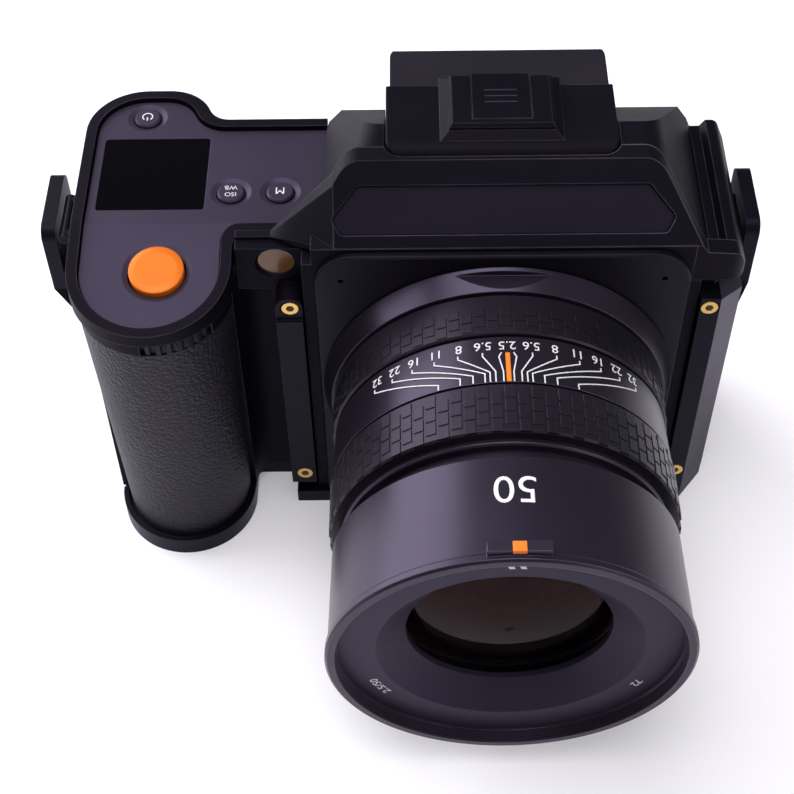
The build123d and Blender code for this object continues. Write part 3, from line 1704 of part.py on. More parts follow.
# Thumb rest behind the grip, growing out towards the deck's thumb lobe
with BuildPart() as thumb_rest:
    with BuildSketch(Plane.YZ.offset(-thumb_rest_left)):
        with BuildLine():
            Polyline(
                (body_rear, chassis_top),
                (body_rear, thumb_low),
                (body_rear + leather_thick, thumb_low),
            )
            ThreePointArc(
                (body_rear + leather_thick, thumb_low),
                (body_rear + thumb_bend_reach, thumb_bend_height),
                (body_rear + thumb_reach, chassis_top),
            )
            Line((body_rear + thumb_reach, chassis_top), (body_rear, chassis_top))
        make_face()
    extrude(amount=thumb_rest_left - thumb_rest_right)
    with BuildSketch(Plane.XY.offset(thumb_low)):
        with BuildLine():
            FilletPolyline(
                (-thumb_rest_left, body_rear),
                (-thumb_rest_left, body_rear + thumb_reach),
                (-thumb_rest_right, body_rear + thumb_reach),
                (-thumb_rest_right, body_rear),
                radius=(0, thumb_rest_corner, thumb_rest_corner, 0),
                close=True,
            )
        make_face()
    extrude(amount=chassis_top - thumb_low, mode=Mode.INTERSECT)
thumb_rest.part.label = "thumb_rest"
export_step(thumb_rest.part, "parts/thumb_rest.step")

# Screws under the base
with BuildPart() as base_screws:
    with BuildSketch(Plane.XY.offset(free_gap)):
        with Locations(*base_screw_places):
            Circle(screw_head_radius)
    extrude(amount=screw_head_depth)
    with BuildSketch(Plane.XY.offset(free_gap + screw_head_depth)):
        with Locations(*base_screw_places):
            Circle(screw_shank_radius)
    extrude(amount=base_thick + chassis_floor - free_gap - screw_head_depth)
base_screws.part.label = "base_screws"
export_step(base_screws.part, "parts/base_screws.step")

# Main board
with BuildPart() as main_board:
    with BuildSketch(Plane.XZ.offset(-board_rear)):
        with Locations((0, axis_height)):
            Rectangle(board_width, board_height)
    extrude(amount=board_thick)
main_board.part.label = "main_board"
export_step(main_board.part, "parts/main_board.step")

# Connector panel behind the port door
with BuildPart() as port_panel:
    with BuildSketch(Plane.YZ.offset(body_right - wall)):
        with BuildLine():
            Polyline(
                (door_front - port_margin, door_low - port_margin),
                (door_rear + port_margin, door_low - port_margin),
                (door_rear + port_margin, door_high + port_margin),
                (door_front - port_margin, door_high + port_margin),
                close=True,
            )
        make_face()
    extrude(amount=-port_thick)
    with BuildSketch(Plane.YZ.offset(body_right - wall)):
        with Locations(
            ((door_front + door_rear) / 2, port_low_z), ((door_front + door_rear) / 2, port_high_z)
        ):
            SlotOverall(port_length, port_width, rotation=90)
        with Locations(((door_front + door_rear) / 2, jack_z)):
            Circle(jack_radius)
    extrude(amount=-port_thick + port_thick / 4, mode=Mode.SUBTRACT)
port_panel.part.label = "port_panel"
export_step(port_panel.part, "parts/port_panel.step")

# Port door with a round hinge edge and a pin at each end of it
with BuildPart() as port_door:
    with BuildSketch(Plane.XY.offset(door_low + free_gap)):
        with Locations((door_axis_x, door_axis_y)):
            Circle(door_thick / 2)
            Rectangle(
                door_thick,
                door_axis_y - door_front - free_gap,
                align=(Align.CENTER, Align.MAX),
            )
    extrude(amount=door_high - door_low - 2 * free_gap)
    with BuildSketch(Plane.XY.offset(door_low - door_knuckle / 2)):
        with Locations((door_axis_x, door_axis_y)):
            Circle(door_pin_radius)
    extrude(amount=door_high - door_low + door_knuckle)
    free_edge = port_door.edges().filter_by(Axis.Z).sort_by(Axis.Y)[:2].sort_by(Axis.X)[-1]
    chamfer(free_edge, edge_break)
port_door.part.label = "port_door"
export_step(port_door.part, "parts/port_door.step")

# Viewfinder housing, a hollow block let into the hump
with BuildPart() as finder_housing:
    with BuildSketch(Plane.XZ.offset(-finder_split)):
        with BuildLine():
            FilletPolyline(
                (-finder_half, finder_low),
                (-finder_half, finder_height),
                (finder_half, finder_height),
                (finder_half, finder_low),
                radius=(0, edge_break, edge_break, 0),
                close=True,
            )
        make_face()
    extrude(amount=finder_split + finder_front)
    front_corners = finder_housing.edges().filter_by(Axis.Z).group_by(Axis.Y)[0]
    fillet(front_corners, finder_corner)
    with BuildSketch(Plane.XZ.offset(-finder_split)):
        with Locations((0, eyepiece_height)):
            Rectangle(2 * eye_window_half, 2 * eye_window_rise - eyecup_bevel)
    extrude(
        amount=finder_split + finder_front - 2 * finder_wall, mode=Mode.SUBTRACT
    )
finder_housing.part.label = "finder_housing"
export_step(finder_housing.part, "parts/finder_housing.step")

# Eyecup behind the housing, with the eyepiece sunk in it
with BuildPart() as eyecup:
    with BuildSketch(Plane.YZ.offset(-eyecup_half)):
        with BuildLine():
            Polyline(
                (finder_split, finder_low),
                (finder_split, finder_height),
                (finder_rear - eyecup_bevel, finder_height),
                (finder_rear, finder_height - eyecup_bevel),
                (finder_rear, eyecup_low + eyecup_bevel),
                (finder_rear - eyecup_bevel, eyecup_low),
                (body_rear + free_gap, eyecup_low),
                (body_rear + free_gap, finder_low),
                close=True,
            )
        make_face()
    extrude(amount=2 * eyecup_half)
    with BuildSketch(Plane.XY.offset(eyecup_low)):
        with Locations((0, finder_split)):
            RectangleRounded(2 * eyecup_half, 2 * (finder_rear - finder_split), finder_corner)
    extrude(amount=finder_height - eyecup_low, mode=Mode.INTERSECT)
    with BuildSketch(Plane.XZ.offset(-finder_split)):
        with Locations((0, eyepiece_height)):
            Rectangle(2 * eye_window_half, 2 * eye_window_rise - eyecup_bevel)
    extrude(amount=-(finder_rear - finder_split), mode=Mode.SUBTRACT)
    with BuildSketch(Plane.XZ.offset(-finder_rear)):
        with Locations((0, eyepiece_height)):
            RectangleRounded(
                2 * eye_window_half + 2 * eyecup_bevel, 2 * eye_window_rise, finder_corner
            )
    extrude(amount=eyepiece_sink + eyepiece_thick, mode=Mode.SUBTRACT)
eyecup.part.label = "eyecup"
export_step(eyecup.part, "parts/eyecup.step")

with BuildPart() as eyepiece:
    with BuildSketch(Plane.XZ.offset(-finder_rear + eyepiece_sink)):
        with Locations((0, eyepiece_height)):
            RectangleRounded(
                2 * eye_window_half + 2 * eyecup_bevel, 2 * eye_window_rise, finder_corner
            )
    extrude(amount=eyepiece_thick)
    rim = eyepiece.faces().sort_by(Axis.Y)[-1].edges()
    chamfer(rim, edge_break)
eyepiece.part.label = "eyepiece"
export_step(eyepiece.part, "parts/eyepiece.step")

# Accessory shoe: a tapered foot with two lipped rails, open to the rear
lip_high = finder_height + shoe_slot_high
shoe_top = lip_high + shoe_lip_thick
shoe_block_half = shoe_half - shoe_slope
with BuildPart() as accessory_shoe:
    with BuildSketch(Plane.XY.offset(finder_height)):
        with Locations((0, -shoe_front)):
            Rectangle(2 * shoe_half, shoe_length, align=(Align.CENTER, Align.MIN))
    extrude(amount=shoe_rise, taper=shoe_taper)
    with BuildSketch(Plane.XY.offset(finder_height)):
        with Locations((0, -shoe_front + shoe_slope)):
            Rectangle(
                2 * shoe_block_half, shoe_length - 2 * shoe_slope, align=(Align.CENTER, Align.MIN)
            )
    extrude(amount=shoe_top - finder_height)
    chamfer(accessory_shoe.faces().sort_by(Axis.Z)[-1].edges(), shoe_edge)
    with BuildSketch(Plane.XY.offset(finder_height)):
        with Locations((0, -shoe_front + 2 * shoe_slope)):
            Rectangle(2 * shoe_throat_half, shoe_length, align=(Align.CENTER, Align.MIN))
    extrude(amount=shoe_slot_high, mode=Mode.SUBTRACT)
    with BuildSketch(Plane.XY.offset(finder_height)):
        with Locations((0, -shoe_front + 2 * shoe_slope)):
            Rectangle(2 * shoe_slot_half, shoe_length, align=(Align.CENTER, Align.MIN))
    extrude(amount=shoe_top - finder_height, mode=Mode.SUBTRACT)
accessory_shoe.part.label = "accessory_shoe"
export_step(accessory_shoe.part, "parts/accessory_shoe.step")

# Sliding cover of the shoe: tongue under the lips and neck between them
cover_front = -shoe_front + 2 * shoe_slope + running_gap
cover_length = shoe_length - 3 * shoe_slope - running_gap
with BuildPart() as shoe_cover:
    with BuildSketch(Plane.XY.offset(finder_height + running_gap)):
        with Locations((0, cover_front)):
            Rectangle(
                2 * (shoe_throat_half - running_gap),
                cover_length,
                align=(Align.CENTER, Align.MIN),
            )
    extrude(amount=shoe_slot_high - 2 * running_gap)
    with BuildSketch(Plane.XY.offset(finder_height + running_gap)):
        with Locations((0, cover_front)):
            Rectangle(
                2 * (shoe_slot_half - running_gap), cover_length, align=(Align.CENTER, Align.MIN)
            )
    extrude(amount=shoe_top - finder_height - running_gap)
shoe_cover.part.label = "shoe_cover"
export_step(shoe_cover.part, "parts/shoe_cover.step")

lens_lug = ring_segment(lens_lug_radius, lens_tube_radius - free_gap, mount_lug_angle)

# Bayonet of the lens: flange on the mount, tube with outward lugs and the rear glass's tube
with BuildPart() as lens_bayonet:
    add(
        lens_ring(
            [
                (bayonet_flange_radius, bayonet_flange_thick),
                (bayonet_flange_radius, running_gap),
                (lens_tube_radius, running_gap),
                (lens_tube_radius, -bayonet_reach),
                (rear_tube_radius, -bayonet_reach),
                (rear_tube_radius, -rear_tube_reach),
                (rear_glass_radius, -rear_tube_reach),
                (rear_glass_radius, -bayonet_reach + bayonet_floor),
                (bayonet_bore, -bayonet_reach + bayonet_floor),
                (bayonet_bore, bayonet_flange_thick),
            ]
        )
    )
    with BuildSketch(mount_face.offset(-mount_lug_thick - free_gap)):
        with PolarLocations(0, mount_lug_count):
            add(lens_lug)
    extrude(amount=-(bayonet_reach - mount_lug_thick - free_gap))
lens_bayonet.part.label = "lens_bayonet"
export_step(lens_bayonet.part, "parts/lens_bayonet.step")

# Core tube of the lens, with the shelves that hold the glasses and the iris's groove
core_bore = core_radius - core_wall
iris_low = iris_place - iris_housing_thick / 2
iris_high = iris_place + iris_housing_thick / 2
blade_outer = (iris_inner + core_bore) / 2
with BuildPart() as core_tube:
    add(
        lens_ring(
            [
                (core_radius, bayonet_flange_thick),
                (core_radius, core_end),
                (core_bore, core_end),
                (core_bore, front_glass_place + glass_edge),
                (front_glass_radius, front_glass_place + glass_edge),
                (front_glass_radius, front_glass_place),
                (core_bore, front_glass_place),
                (core_bore, second_glass_place),
                (second_glass_radius, second_glass_place),
                (second_glass_radius, second_glass_place - glass_edge),
                (core_bore, second_glass_place - glass_edge),
                (core_bore, iris_high),
                (iris_inner, iris_high),
                (iris_inner, iris_place + iris_thick / 2),
                (blade_outer, iris_place + iris_thick / 2),
                (blade_outer, iris_place - iris_thick / 2),
                (iris_inner, iris_place - iris_thick / 2),
                (iris_inner, iris_low),
                (core_bore, iris_low),
                (core_bore, middle_glass_place + glass_edge),
                (middle_glass_radius, middle_glass_place + glass_edge),
                (middle_glass_radius, middle_glass_place),
                (core_bore, middle_glass_place),
                (core_bore, bayonet_flange_thick),
            ]
        )
    )
core_tube.part.label = "core_tube"
export_step(core_tube.part, "parts/core_tube.step")

# Collar next to the mount, with the scallop at its top
with BuildPart() as lens_collar:
    add(
        lens_ring(
            [
                (bayonet_flange_radius, running_gap),
                (collar_radius - edge_break, running_gap),
                (collar_radius, running_gap + edge_break),
                (collar_front_radius, collar_length),
                (core_radius, collar_length),
                (core_radius, bayonet_flange_thick),
                (bayonet_flange_radius, bayonet_flange_thick),
            ]
        )
    )
    with BuildSketch(Plane.XY.offset(axis_height + collar_radius + collar_scallop_depth)):
        with Locations((0, -plate_front - collar_length)):
            Rectangle(
                2 * collar_scallop_half, collar_scallop_length, align=(Align.CENTER, Align.MIN)
            )
    extrude(amount=-collar_cut, mode=Mode.SUBTRACT)
lens_collar.part.label = "lens_collar"
export_step(lens_collar.part, "parts/lens_collar.step")

# Control ring
control_ring = lens_ring(
    [
        (core_radius + running_gap, control_start),
        (control_radius - edge_break, control_start),
        (control_radius, control_start + edge_break),
        (control_radius, control_end - edge_break),
        (control_radius - edge_break, control_end),
        (core_radius + running_gap, control_end),
    ]
)
control_ring.label = "control_ring"
export_step(control_ring, "parts/control_ring.step")

# Fixed band that carries the distance scale
scale_band = lens_ring(
    [
        (core_radius, scale_start),
        (scale_radius_rear, scale_start),
        (scale_radius_front, scale_end),
        (core_radius, scale_end),
    ]
)
scale_band.label = "scale_band"
export_step(scale_band, "parts/scale_band.step")

# Clutch sleeve that slides on the core, and the focus ring that turns on the sleeve
clutch_sleeve = lens_ring(
    [
        (core_radius + running_gap, focus_start),
        (core_radius + running_gap, clutch_end),
        (clutch_radius - edge_break, clutch_end),
        (clutch_radius, clutch_end - edge_break),
        (clutch_radius, focus_start),
    ]
)
clutch_sleeve.label = "clutch_sleeve"
export_step(clutch_sleeve, "parts/clutch_sleeve.step")

focus_ring = lens_ring(
    [
        (clutch_radius + running_gap, focus_start),
        (focus_radius - edge_break, focus_start),
        (focus_radius, focus_start + edge_break),
        (focus_radius, focus_end - edge_break),
        (focus_radius - edge_break, focus_end),
        (clutch_radius + running_gap, focus_end),
    ]
)
focus_ring.label = "focus_ring"
export_step(focus_ring, "parts/focus_ring.step")

# Front barrel with its index tab, a groove and the rim with the filter thread's bore
with BuildPart() as front_barrel:
    add(
        lens_ring(
            [
                (core_radius, barrel_start),
                (barrel_radius_rear, barrel_start),
                (front_radius - filter_groove, barrel_end - filter_groove),
                (front_radius - filter_groove, barrel_end),
                (front_radius, barrel_end + filter_groove),
                (front_radius, lens_length - filter_groove),
                (front_radius - filter_groove, lens_length),
                (filter_radius, lens_length),
                (filter_radius, bezel_front),
                (bezel_radius, bezel_front),
                (bezel_radius, bezel_front - bezel_thick),
                (core_radius + bezel_thick, core_end),
                (core_radius, core_end),
            ]
        )
    )
    with BuildSketch(mount_face.offset(tab_start)):
        with Locations((0, front_radius - tab_height)):
            Rectangle(tab_width, 2 * tab_height, align=(Align.CENTER, Align.MIN))
    extrude(amount=tab_length)
front_barrel.part.label = "front_barrel"
export_step(front_barrel.part, "parts/front_barrel.step")

# Bezel: flat ring and cone down to the front glass
front_bezel = lens_ring(
    [
        (bezel_radius, bezel_front),
        (bezel_flat, bezel_front),
        (bezel_opening, bezel_front - bezel_drop),
        (bezel_opening, bezel_front - bezel_drop - bezel_thick),
        (bezel_flat, bezel_front - bezel_thick),
        (bezel_radius, bezel_front - bezel_thick),
    ]
)
front_bezel.label = "front_bezel"
export_step(front_bezel, "parts/front_bezel.step")


def domed_glass(radius, place, crown, way):
    """Round glass with a flat side and a domed side, which faces forward or to the rear."""
    sphere = (radius**2 + crown**2) / (2 * crown)
    shoulder = (sphere**2 - (radius / 2) ** 2) ** 0.5 - sphere + crown
    with BuildPart() as glass:
        with BuildSketch(lens_section):
            with BuildLine():
                Polyline((0, place), (radius, place), (radius, place + way * glass_edge))
                ThreePointArc(
                    (radius, place + way * glass_edge),
                    (radius / 2, place + way * (glass_edge + shoulder)),
                    (0, place + way * (glass_edge + crown)),
                )
                Line((0, place + way * (glass_edge + crown)), (0, place))
            make_face()
        revolve(axis=lens_axis)
    return glass.part


# Lens elements
front_glass = domed_glass(front_glass_radius, front_glass_place, front_glass_crown, 1)
front_glass.label = "front_glass"
export_step(front_glass, "parts/front_glass.step")

with BuildPart() as inner_glasses:
    add(domed_glass(second_glass_radius, second_glass_place, glass_crown, -1))
    add(domed_glass(middle_glass_radius, middle_glass_place, glass_crown, 1))
    add(domed_glass(rear_glass_radius, rear_glass_place, glass_crown, -1))
inner_glasses.part.label = "inner_glasses"
export_step(inner_glasses.part, "parts/inner_glasses.step")
# Nine iris blades, stopped down a little
blade_half = pi / iris_blades
with BuildSketch() as iris_blade:
    with BuildLine():
        Polyline(
            (iris_opening, -iris_opening * tan(blade_half) + running_gap),
            (blade_outer * cos(blade_half), -blade_outer * sin(blade_half) + running_gap),
            (blade_outer * cos(blade_half), blade_outer * sin(blade_half) - running_gap),
            (iris_opening, iris_opening * tan(blade_half) - running_gap),
            close=True,
        )
    make_face()
with BuildPart() as iris_leaves:
    with BuildSketch(mount_face.offset(iris_place - iris_thick / 2)):
        with PolarLocations(0, iris_blades):
            add(iris_blade.sketch)
    extrude(amount=iris_thick)
iris_leaves.part.label = "iris_leaves"
export_step(iris_leaves.part, "parts/iris_leaves.step")
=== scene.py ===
from math import cos, pi, radians, sin

import bmesh
import bpy
from mathutils import Matrix, Vector


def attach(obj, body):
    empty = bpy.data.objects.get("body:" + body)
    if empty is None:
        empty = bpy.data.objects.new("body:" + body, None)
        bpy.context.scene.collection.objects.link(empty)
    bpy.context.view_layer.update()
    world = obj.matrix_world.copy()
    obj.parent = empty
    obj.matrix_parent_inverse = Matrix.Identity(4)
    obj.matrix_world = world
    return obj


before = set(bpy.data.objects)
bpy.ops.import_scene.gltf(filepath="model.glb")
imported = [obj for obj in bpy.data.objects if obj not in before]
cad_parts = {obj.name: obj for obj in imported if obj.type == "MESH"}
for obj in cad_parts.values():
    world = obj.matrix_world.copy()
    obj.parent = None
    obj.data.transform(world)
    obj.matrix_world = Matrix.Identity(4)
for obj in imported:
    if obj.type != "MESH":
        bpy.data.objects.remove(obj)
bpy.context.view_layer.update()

# Medium format camera with its lens. x goes away from the grip, y to the rear and z up.
# Lengths are in millimetres until a print or a tree is placed, then in metres.
MM = 0.001  # metres
AXIS_HEIGHT = 47.0  # of the lens above the base
PLATE_FRONT = 24.0  # of the lens plate, ahead of the origin
RING_FACE = 69.8  # of the flat ring round the front glass, ahead of the lens plate
PRINT_LIFT = 0.05  # of a print above the surface under it
FILM_THICKNESS = 0.10  # of a print

# Finishes
WHITE = (1.0, 1.0, 1.0)
EVEN = (1.0, 1.0, 1.0)  # stretch of a grain with no direction
ANODISED = (0.74, 0.64, 1.0)  # violet cast of what the anodised and painted pieces reflect
BEVEL_SAMPLES = 4
TONE_NOISE = (0.35, 0.65)  # part of the noise's range over which the tone changes
GLOSS_NOISE = (0.3, 0.7)
GLOSS_SPREAD = 0.05  # of the roughness, each way
# Painted highlight on edges: a lighter colour where the rounded normal leaves the flat one
HIGHLIGHT_NOISE = (0.42, 0.62)  # as TONE_NOISE, for how strongly the painted edge highlight shows
HIGHLIGHT_LEAST = 0.25
HIGHLIGHT_STARTS, HIGHLIGHT_FULL = 0.97, 0.80  # cosine between the flat and the rounded normal
PEBBLE_GRAIN = 0.18  # share of the fine grain on top of the pebbles
PEBBLE_TIPS = 0.45  # how far the pebbles' tops go to the pale tone
DUST_ROUGHNESS = 0.012  # what the dust on a glass adds


def into_scene(name, data):
    """Puts a mesh, lamp, camera or curve into the scene as an object."""
    made = bpy.data.objects.new(name, data)
    bpy.context.scene.collection.objects.link(made)
    return made


def feed(tree, made, inputs):
    """Sets a node's inputs, given by name or number, to values or to other nodes' outputs."""
    for label, value in inputs.items():
        if isinstance(value, bpy.types.NodeSocket):
            tree.links.new(value, made.inputs[label])
        else:
            made.inputs[label].default_value = value


def node(tree, kind, inputs=None, **settings):
    """Adds a node with its settings and its inputs."""
    made = tree.nodes.new(kind)
    for setting, value in settings.items():
        setattr(made, setting, value)
    feed(tree, made, inputs or {})
    return made


def outcome(tree, kind, inputs=None, **settings):
    """Adds a node and returns its first output."""
    return node(tree, kind, inputs, **settings).outputs[0]


def reckon(tree, operation, *values):
    """Result of a math node, with each value a number or another node's output."""
    return outcome(tree, "ShaderNodeMath", dict(enumerate(values)), operation=operation)


def vector(tree, x, y, z):
    """Joins three values into a vector."""
    return outcome(tree, "ShaderNodeCombineXYZ", {"X": x, "Y": y, "Z": z})


def surface_noise(tree, coordinates, scale, detail=3.0, stretch=EVEN):
    """Noise read in object coordinates, stretched along the axes."""
    mapped = outcome(tree, "ShaderNodeMapping", {"Vector": coordinates, "Scale": stretch})
    pattern = {"Vector": mapped, "Scale": scale, "Detail": detail, "Roughness": 0.6}
    return node(tree, "ShaderNodeTexNoise", pattern).outputs["Fac"]


def between(tree, value, low, high, to_low, to_high):
    """Maps a value from one range to another."""
    limits = {"From Min": low, "From Max": high, "To Min": to_low, "To Max": to_high}
    return outcome(tree, "ShaderNodeMapRange", {"Value": value, **limits})


def mixed(tree, factor, dark, light):
    """Mixes two colours, each a colour or the output of another node."""
    mix = node(tree, "ShaderNodeMix", {0: factor}, data_type="RGBA")
    colour_inputs = [socket for socket in mix.inputs if socket.type == "RGBA"]
    for socket, colour in zip(colour_inputs, (dark, light)):
        if isinstance(colour, tuple):
            socket.default_value = (*colour, 1.0)
        else:
            tree.links.new(colour, socket)
    return next(socket for socket in mix.outputs if socket.type == "RGBA")


def new_material(name):
    """Starts a material and returns it with its tree, its shader and object coordinates."""
    material = bpy.data.materials.new(name)
    material.use_nodes = True
    tree = material.node_tree
    coordinates = node(tree, "ShaderNodeTexCoord").outputs["Object"]
    return material, tree, tree.nodes["Principled BSDF"], coordinates


def pebble_height(tree, coordinates, scale):
    """Height of leather pebbles, 1 on their tops."""
    pattern = {"Vector": coordinates, "Scale": scale, "Randomness": 0.85, "Smoothness": 0.35}
    cells = node(tree, "ShaderNodeTexVoronoi", pattern, feature="SMOOTH_F1")
    return between(tree, cells.outputs["Distance"], 0.05, 0.75, 1.0, 0.0)


def painted_edge_highlight(tree, rounded, slow, edge_highlight):
    """Share of painted highlight: on edges, where the rounded normal leaves the flat one."""
    flat = node(tree, "ShaderNodeNewGeometry").outputs["True Normal"]
    sides = {0: rounded, 1: flat}
    facing = node(tree, "ShaderNodeVectorMath", sides, operation="DOT_PRODUCT").outputs["Value"]
    edge = between(tree, facing, HIGHLIGHT_STARTS, HIGHLIGHT_FULL, 0.0, edge_highlight)
    return reckon(tree, "MULTIPLY", edge, between(tree, slow, *HIGHLIGHT_NOISE, HIGHLIGHT_LEAST, 1.0))


def finish(
    name,
    colour,
    rough,
    metal=0.0,
    grain=2600.0,
    depth=0.012,
    pebbles=0.0,
    stretch=EVEN,
    shade=0.18,
    patch=24.0,
    edge_highlight=0.0,
    edge_highlight_colour=(0.20, 0.18, 0.24),
    level=0.5,
    rounding=0.3,
    tint=WHITE,
):
    """Opaque finish with fine grain, slow changes of tone and gloss, and soft edges with a painted
    highlight on them.

    depth and rounding are in millimetres; grain, pebbles and patch are scales of patterns.
    """
    material, tree, shader, coordinates = new_material(name)
    slow = surface_noise(tree, coordinates, patch, 4.0)
    fine = surface_noise(tree, coordinates, grain, 2.0, stretch)
    deep = tuple(c * (1.0 - shade) for c in colour)
    pale = tuple(min(1.0, c * (1.0 + shade)) for c in colour)
    tone = mixed(tree, between(tree, slow, *TONE_NOISE, 0.0, 1.0), deep, pale)
    relief = fine
    if pebbles:
        height = pebble_height(tree, coordinates, pebbles)
        relief = reckon(tree, "MULTIPLY_ADD", fine, PEBBLE_GRAIN, height)
        tone = mixed(tree, between(tree, height, 0.25, 0.8, 0.0, PEBBLE_TIPS), tone, pale)
    rounded = outcome(tree, "ShaderNodeBevel", {"Radius": rounding * MM}, samples=BEVEL_SAMPLES)
    if edge_highlight:
        # painted highlight: the lighter colour laid along the edges
        tone = mixed(tree, painted_edge_highlight(tree, rounded, slow, edge_highlight), tone, edge_highlight_colour)
    bump = {"Strength": 1.0, "Distance": depth * MM, "Height": relief, "Normal": rounded}
    gloss = between(tree, slow, *GLOSS_NOISE, rough - GLOSS_SPREAD, rough + GLOSS_SPREAD)
    look = {
        "Base Color": tone,
        "Roughness": gloss,
        "Metallic": metal,
        "Specular IOR Level": level,
        "Specular Tint": (*tint, 1.0),
        "Normal": outcome(tree, "ShaderNodeBump", bump),
    }
    feed(tree, shader, look)
    return material


def glass(name, colour, rough, through=1.0, ior=1.5, tint=WHITE, level=0.5):
    """Clear or dark glass with a faint film of dust; a low ior or level stands for its coating."""
    material, tree, shader, coordinates = new_material(name)
    dust = surface_noise(tree, coordinates, 60.0, 4.0)
    look = {
        "Base Color": (*colour, 1.0),
        "Roughness": between(tree, dust, 0.3, 0.75, rough, rough + DUST_ROUGHNESS),
        "Transmission Weight": through,
        "IOR": ior,
        "Specular IOR Level": level,
        "Specular Tint": (*tint, 1.0),
    }
    feed(tree, shader, look)
    return material


cage_black = finish(
    "cage_black", (0.0050, 0.0043, 0.0074), 0.38, metal=0.2, depth=0.008, edge_highlight=0.5, level=0.12,
    rounding=0.25, tint=ANODISED,
)
shell_black = finish(
    "shell_black", (0.0036, 0.0030, 0.0054), 0.50, grain=3200.0, depth=0.016, edge_highlight=0.6, level=0.07,
    rounding=0.35, tint=ANODISED,
)
brow_black = finish(
    "brow_black", (0.0034, 0.0029, 0.0048), 0.50, depth=0.026, edge_highlight=0.8, level=0.09,
    rounding=0.4, tint=ANODISED,
)
# Dark violet panel, its base colour lightened to paint in the sheen of a pale reflection from behind
# and above
deck_violet_painted_sheen = finish(
    "deck_violet_painted_sheen", (0.034, 0.0275, 0.046), 0.40, metal=0.2, depth=0.005, shade=0.06, level=0.25,
    tint=ANODISED,
)
recess_violet = finish(
    "recess_violet", (0.009, 0.0077, 0.0135), 0.38, metal=0.2, depth=0.005, shade=0.08, level=0.2,
    tint=ANODISED,
)
leather_black = finish(
    "leather_black", (0.0125, 0.0113, 0.015), 0.50, pebbles=1050.0, depth=0.18, shade=0.35, level=0.3,
    tint=ANODISED,
)
lens_violet = finish(
    "lens_violet", (0.034, 0.0275, 0.046), 0.33, metal=0.75, grain=900.0, depth=0.004,
    stretch=(0.03, 6.0, 0.03), shade=0.06, edge_highlight=0.7, patch=12.0, level=0.4, rounding=0.25,
    edge_highlight_colour=(0.34, 0.30, 0.42),
)
ring_black = finish(
    "ring_black", (0.020, 0.0165, 0.027), 0.34, metal=0.6, depth=0.004, edge_highlight=0.2, level=0.25,
    rounding=0.15,
)
bezel_violet = finish(
    "bezel_violet", (0.024, 0.020, 0.033), 0.44, metal=0.2, grain=3000.0, depth=0.006, shade=0.06,
    level=0.2, tint=ANODISED,
)
plate_black = finish(
    "plate_black", (0.0042, 0.0036, 0.0058), 0.42, metal=0.15, depth=0.010, edge_highlight=0.2, level=0.2,
    tint=ANODISED,
)
matt_black = finish(
    "matt_black", (0.0065, 0.0057, 0.0082), 0.50, depth=0.014, edge_highlight=0.2, level=0.22, tint=ANODISED
)
inner_black = finish("inner_black", (0.006, 0.0055, 0.007), 0.70, depth=0.020, level=0.3)
rubber_black = finish(
    "rubber_black", (0.009, 0.0082, 0.0112), 0.60, grain=1800.0, depth=0.024, level=0.2, rounding=0.6,
    tint=ANODISED,
)
screw_black = finish("screw_black", (0.02, 0.02, 0.022), 0.36, metal=0.8, depth=0.006, edge_highlight=0.3)
bare_metal = finish(
    "bare_metal", (0.52, 0.52, 0.54), 0.34, metal=1.0, grain=1400.0, depth=0.006,
    stretch=(0.05, 1.0, 1.0), shade=0.06,
)
bright_metal = finish(
    "bright_metal", (0.62, 0.62, 0.64), 0.20, metal=1.0, grain=700.0, depth=0.003,
    stretch=(1.0, 8.0, 1.0), shade=0.05,
)
turned_brass = finish(
    "turned_brass", (0.72, 0.47, 0.16), 0.26, metal=1.0, grain=2200.0, depth=0.010, shade=0.12
)
orange_metal = finish(
    "orange_metal", (0.74, 0.155, 0.007), 0.40, metal=0.2, grain=3000.0, depth=0.004, shade=0.04,
    patch=40.0, level=0.25, rounding=0.8,
)
lamp_amber = glass("lamp_amber", (0.30, 0.13, 0.05), 0.18, through=0.35)
board_green = finish("board_green", (0.010, 0.075, 0.045), 0.45, depth=0.02, shade=0.3, patch=220.0)
battery_grey = finish("battery_grey", (0.035, 0.035, 0.038), 0.50, depth=0.02)
display_glass = glass("display_glass", (0.0014, 0.0012, 0.0022), 0.05, through=0.0, level=0.08)
front_optic = glass("front_optic", (0.55, 0.27, 0.27), 0.0, ior=1.12, tint=(1.0, 0.62, 0.70))
inner_optic = glass("inner_optic", (0.60, 0.24, 0.16), 0.0, ior=1.34, tint=(1.0, 0.42, 0.28))
clear_optic = glass("clear_optic", (0.30, 0.33, 0.42), 0.02)
sensor_glaze = glass("sensor_glaze", (0.10, 0.20, 0.17), 0.03, through=0.4)
white_print = finish("white_print", (0.78, 0.77, 0.79), 0.55, depth=0.006, shade=0.03, level=0.3)
orange_print = finish("orange_print", (0.82, 0.20, 0.016), 0.50, depth=0.006, shade=0.03, level=0.3)
# dark brass for the screws' hexagonal sockets: painted shade, as the sockets are not cut in
socket_painted_shade = finish("socket_painted_shade", (0.05, 0.032, 0.012), 0.50, metal=0.6, depth=0.01)

